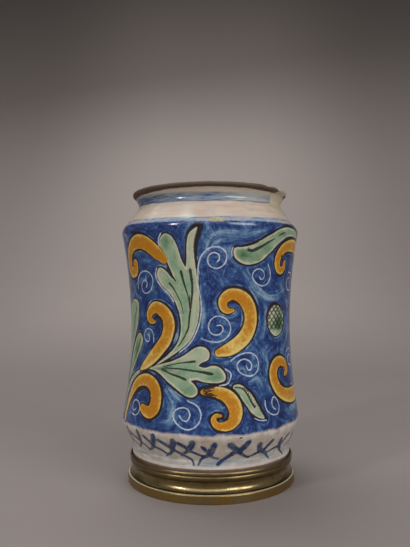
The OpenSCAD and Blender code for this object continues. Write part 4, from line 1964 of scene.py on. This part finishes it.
    def _throw(
        self, turn: np.ndarray, radius: np.ndarray, height: np.ndarray, outside: np.ndarray
    ) -> tuple[np.ndarray, np.ndarray]:
        """Gives the true round the slight waver of a pot thrown by hand, and chips its rim.

        Args:
            turn: Every point's turn around the axis.
            radius: Its radius.
            height: Its height.
            outside: Which rows are on the outside.

        Returns:
            The new radius and height. Nothing moves outward or upward.
        """
        on_outside = outside[:, None]
        waver = self.oval * (1 + np.sin(2 * turn + height / self.oval_twist))
        waver += self.lobes * (1 + np.sin(self.lobe_count * turn - height / self.lobes_twist))
        lean = self.shoulder_lean * bell(height, *self.shoulder_lean_at)
        lean += self.neck_lean * share_between(height, *self.neck_lean_from)
        waver += lean * (1 + np.sin(turn)) * on_outside
        rings = self.rings * (1 + np.sin(height / self.ring_pitch + turn))
        thrown = share_between(height, *self.body_from) * (waver + rings * on_outside)
        radius = radius - share_between(radius, *self.full_from) * (thrown + self.inset)
        around = turn * ROLL_R
        dent = bell(around, self.dent_middle[0], self.dent_reach[0])
        dent = self.dent * dent * bell(height, self.dent_middle[1], self.dent_reach[1])
        radius = radius - dent * on_outside
        few, many = self.rough_waves
        rough = self.rough * (1 + np.sin(few * turn + 1) * np.sin(many * turn))
        wide, narrow = self.teeth
        jagged = 0.5 + 0.5 * np.sin(around / wide) * np.sin(around / narrow + height)
        broken = np.exp(-(((around - self.break_middle) / self.break_reach) ** 4)) * jagged
        chips = sum(depth * bell(around, middle, reach) for depth, middle, reach in self.chips)
        near_rim = share_between(height, self.height - self.rim_edge, self.height)
        radius = radius - near_rim * broken * self.break_in * on_outside
        return radius, height - near_rim * (rough + chips + broken * self.break_down)

    def _mesh(self, points: np.ndarray, rows: int) -> bpy.types.Object:
        """Makes the closed mesh.

        Args:
            points: The points, row after row, in metres.
            rows: How many rows there are.

        Returns:
            The object, in the scene.
        """
        columns = self.columns
        row, column = np.meshgrid(np.arange(rows - 1), np.arange(columns), indexing="ij")
        after = (column + 1) % columns
        below, above = row * columns, (row + 1) * columns
        corners = (below + column, below + after, above + after, above + column)
        quads = np.stack(corners, axis=-1).reshape(-1, 4)
        lower_end = tuple(reversed(range(columns)))
        upper_end = tuple((rows - 1) * columns + step for step in range(columns))
        mesh = bpy.data.meshes.new(self.name)
        mesh.from_pydata(points.tolist(), [], quads.tolist() + [lower_end, upper_end])
        mesh.update()
        mesh.shade_smooth()
        self._unroll(mesh, row.ravel(), column.ravel(), rows)
        made = bpy.data.objects.new(self.name, mesh)
        bpy.context.scene.collection.objects.link(made)
        return made

    def _unroll(self, mesh: bpy.types.Mesh, row: np.ndarray, column: np.ndarray, rows: int) -> None:
        """Lays the mesh out flat for baking, with a seam down the back.

        Args:
            mesh: The mesh.
            row: The row of each four-sided face.
            column: The column of each four-sided face.
            rows: How many rows there are.
        """
        wide = np.stack((column, column + 1, column + 1, column), axis=-1) / self.columns
        high = np.stack((row, row, row + 1, row + 1), axis=-1) / (rows - 1)
        margin = self.flat_margin
        flat = np.stack((wide, high), axis=-1).reshape(-1, 2) * (1 - 2 * margin) + margin
        ends = np.zeros((2 * self.columns, 2))
        turns = np.arange(self.columns) / self.columns * 2 * math.pi
        disc = np.column_stack((np.cos(turns), np.sin(turns))) * margin * 0.4
        ends[: self.columns] = disc + (0.5, margin * 0.5)
        ends[self.columns:] = disc + (0.5, 1 - margin * 0.5)
        layer = mesh.uv_layers.new(name="OFBake")
        layer.uv.foreach_set("vector", np.vstack((flat, ends)).astype(np.float32).ravel())

    @staticmethod
    def _keep(mesh: bpy.types.Mesh, layers: dict[Layer, np.ndarray]) -> None:
        """Keeps the painting's layers on the mesh, and takes paint off the inside.

        Args:
            mesh: The mesh.
            layers: The layers.
        """
        for layer, values in layers.items():
            if layer in PAINT_LAYERS:
                values = np.where(layers[Layer.OUTSIDE] > 0, values, FAR)
            kept = mesh.attributes.new(layer.value, "FLOAT", "POINT")
            kept.data.foreach_set("value", values.astype(np.float32))


# The stand


@dataclass
class Stand:
    """The turned brass stand with its two cork rings, which keep the CAD's own shapes."""

    brass: TurnedBrass = field(default_factory=TurnedBrass)
    cork: PressedCork = field(default_factory=PressedCork)

    def dress(self) -> Iterator[bpy.types.Object]:
        """Gives the stand's nodes their finishes.

        Yields:
            Each node's object.
        """
        brass, cork = self.brass.material(), self.cork.material()
        for name, material in (
            ("stand_collar", brass),
            ("stand_plinth", brass),
            ("seat_ring", cork),
            ("base_ring", cork),
        ):
            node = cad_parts[name]
            node.data.materials.clear()
            node.data.materials.append(material)
            yield node


# The studio


@dataclass(frozen=True)
class SoftBox:
    """A soft box that faces the object.

    Its directions are in degrees, around the object from the camera's side to the right and up from
    the table. Its distance, width and height are in metres, and its power is in watts.
    """

    name: str
    turn: float
    rise: float
    away: float
    size: tuple[float, float]
    power: float
    aim: float = 0.12

    def hang(self) -> None:
        """Hangs the box."""
        data = bpy.data.lights.new(self.name, "AREA")
        data.shape = "RECTANGLE"
        data.size, data.size_y = self.size
        data.energy = self.power
        lamp = bpy.data.objects.new(self.name, data)
        turned, raised = math.radians(self.turn), math.radians(self.rise)
        level = self.away * math.cos(raised)
        up = self.away * math.sin(raised) + self.aim
        lamp.location = (level * math.sin(turned), -level * math.cos(turned), up)
        lamp.rotation_euler = (math.pi / 2 - raised, 0.0, turned)
        bpy.context.scene.collection.objects.link(lamp)


@dataclass
class Studio:
    """The camera, the paper and the lights. Lengths are in metres."""

    camera_place: tuple[float, float, float] = (0.0, -0.4951, 0.155)
    camera_tilt: float = 91.98
    camera_pan: float = 0.52
    lens: float = 37.77
    paper_half_width: float = 3.0
    paper_front: float = -2.0
    paper_back: float = 0.4
    paper_sweep: float = 1.7
    paper_top: float = 3.2
    paper: StudioPaper = field(default_factory=StudioPaper)
    camera_near: float = 0.01
    # A narrow box to the left, and wide ones to the right, in front and overhead
    boxes: tuple[SoftBox, ...] = (
        SoftBox("light_left", -47.0, 26.0, 1.5, (0.15, 0.28), 5.0),
        SoftBox("light_right", 43.0, 27.0, 1.5, (0.8, 0.5), 9.5),
        SoftBox("light_front", -12.0, 42.0, 1.7, (1.8, 0.9), 7.0),
        SoftBox("light_over", -150.0, 68.0, 1.6, (1.1, 1.1), 15.0),
    )
    sky_colour: Colour = (1.0, 0.97, 0.94)
    sky_strength: float = 0.2

    def build(self) -> None:
        """Sets up the camera, the paper and the lights."""
        self._camera()
        self._paper()
        self._lights()
        bpy.context.scene.view_settings.view_transform = "Standard"

    def _camera(self) -> None:
        """Puts the camera where the photograph was taken from."""
        data = bpy.data.cameras.new("camera")
        data.lens = self.lens
        data.clip_start = self.camera_near
        camera = bpy.data.objects.new("camera", data)
        camera.location = self.camera_place
        camera.rotation_euler = (math.radians(self.camera_tilt), CAMERA_ROLL, math.radians(self.camera_pan))
        bpy.context.scene.collection.objects.link(camera)
        bpy.context.scene.camera = camera

    def _paper(self) -> None:
        """Hangs the paper: flat under the object and swept up behind it."""
        floor = np.array(((self.paper_front, 0.0), (self.paper_back, 0.0)))
        sweep = arc((self.paper_back, self.paper_sweep), self.paper_sweep, -90, 0, 24)
        wall = np.array(((self.paper_back + self.paper_sweep, self.paper_top),))
        line = np.vstack((floor, sweep[1:], wall))
        points = [
            (side * self.paper_half_width, depth, height) for depth, height in line for side in (-1, 1)
        ]
        faces = [(2 * i, 2 * i + 1, 2 * i + 3, 2 * i + 2) for i in range(len(line) - 1)]
        mesh = bpy.data.meshes.new("paper")
        mesh.from_pydata(points, [], faces)
        mesh.shade_smooth()
        mesh.materials.append(self.paper.material())
        paper = bpy.data.objects.new("paper", mesh)
        bpy.context.scene.collection.objects.link(paper)

    def _lights(self) -> None:
        """Hangs the soft boxes, and fills the room with a faint light."""
        for box in self.boxes:
            box.hang()
        world = bpy.data.worlds.new("world")
        world.use_nodes = True
        sky = world.node_tree.nodes["Background"]
        sky.inputs["Color"].default_value = (*self.sky_colour, 1.0)
        sky.inputs["Strength"].default_value = self.sky_strength
        bpy.context.scene.world = world


def main() -> None:
    """Builds the studio, the stand and the jar."""
    logging.basicConfig(level=logging.INFO, format="%(name)s: %(message)s")
    Studio().build()
    for node in Stand().dress():
        LOG.info("dressed %s", node.name)
    jar = Jar().build()
    LOG.info("built %s with %d faces", jar.name, len(jar.data.polygons))


if __name__ == "__main__":
    main()
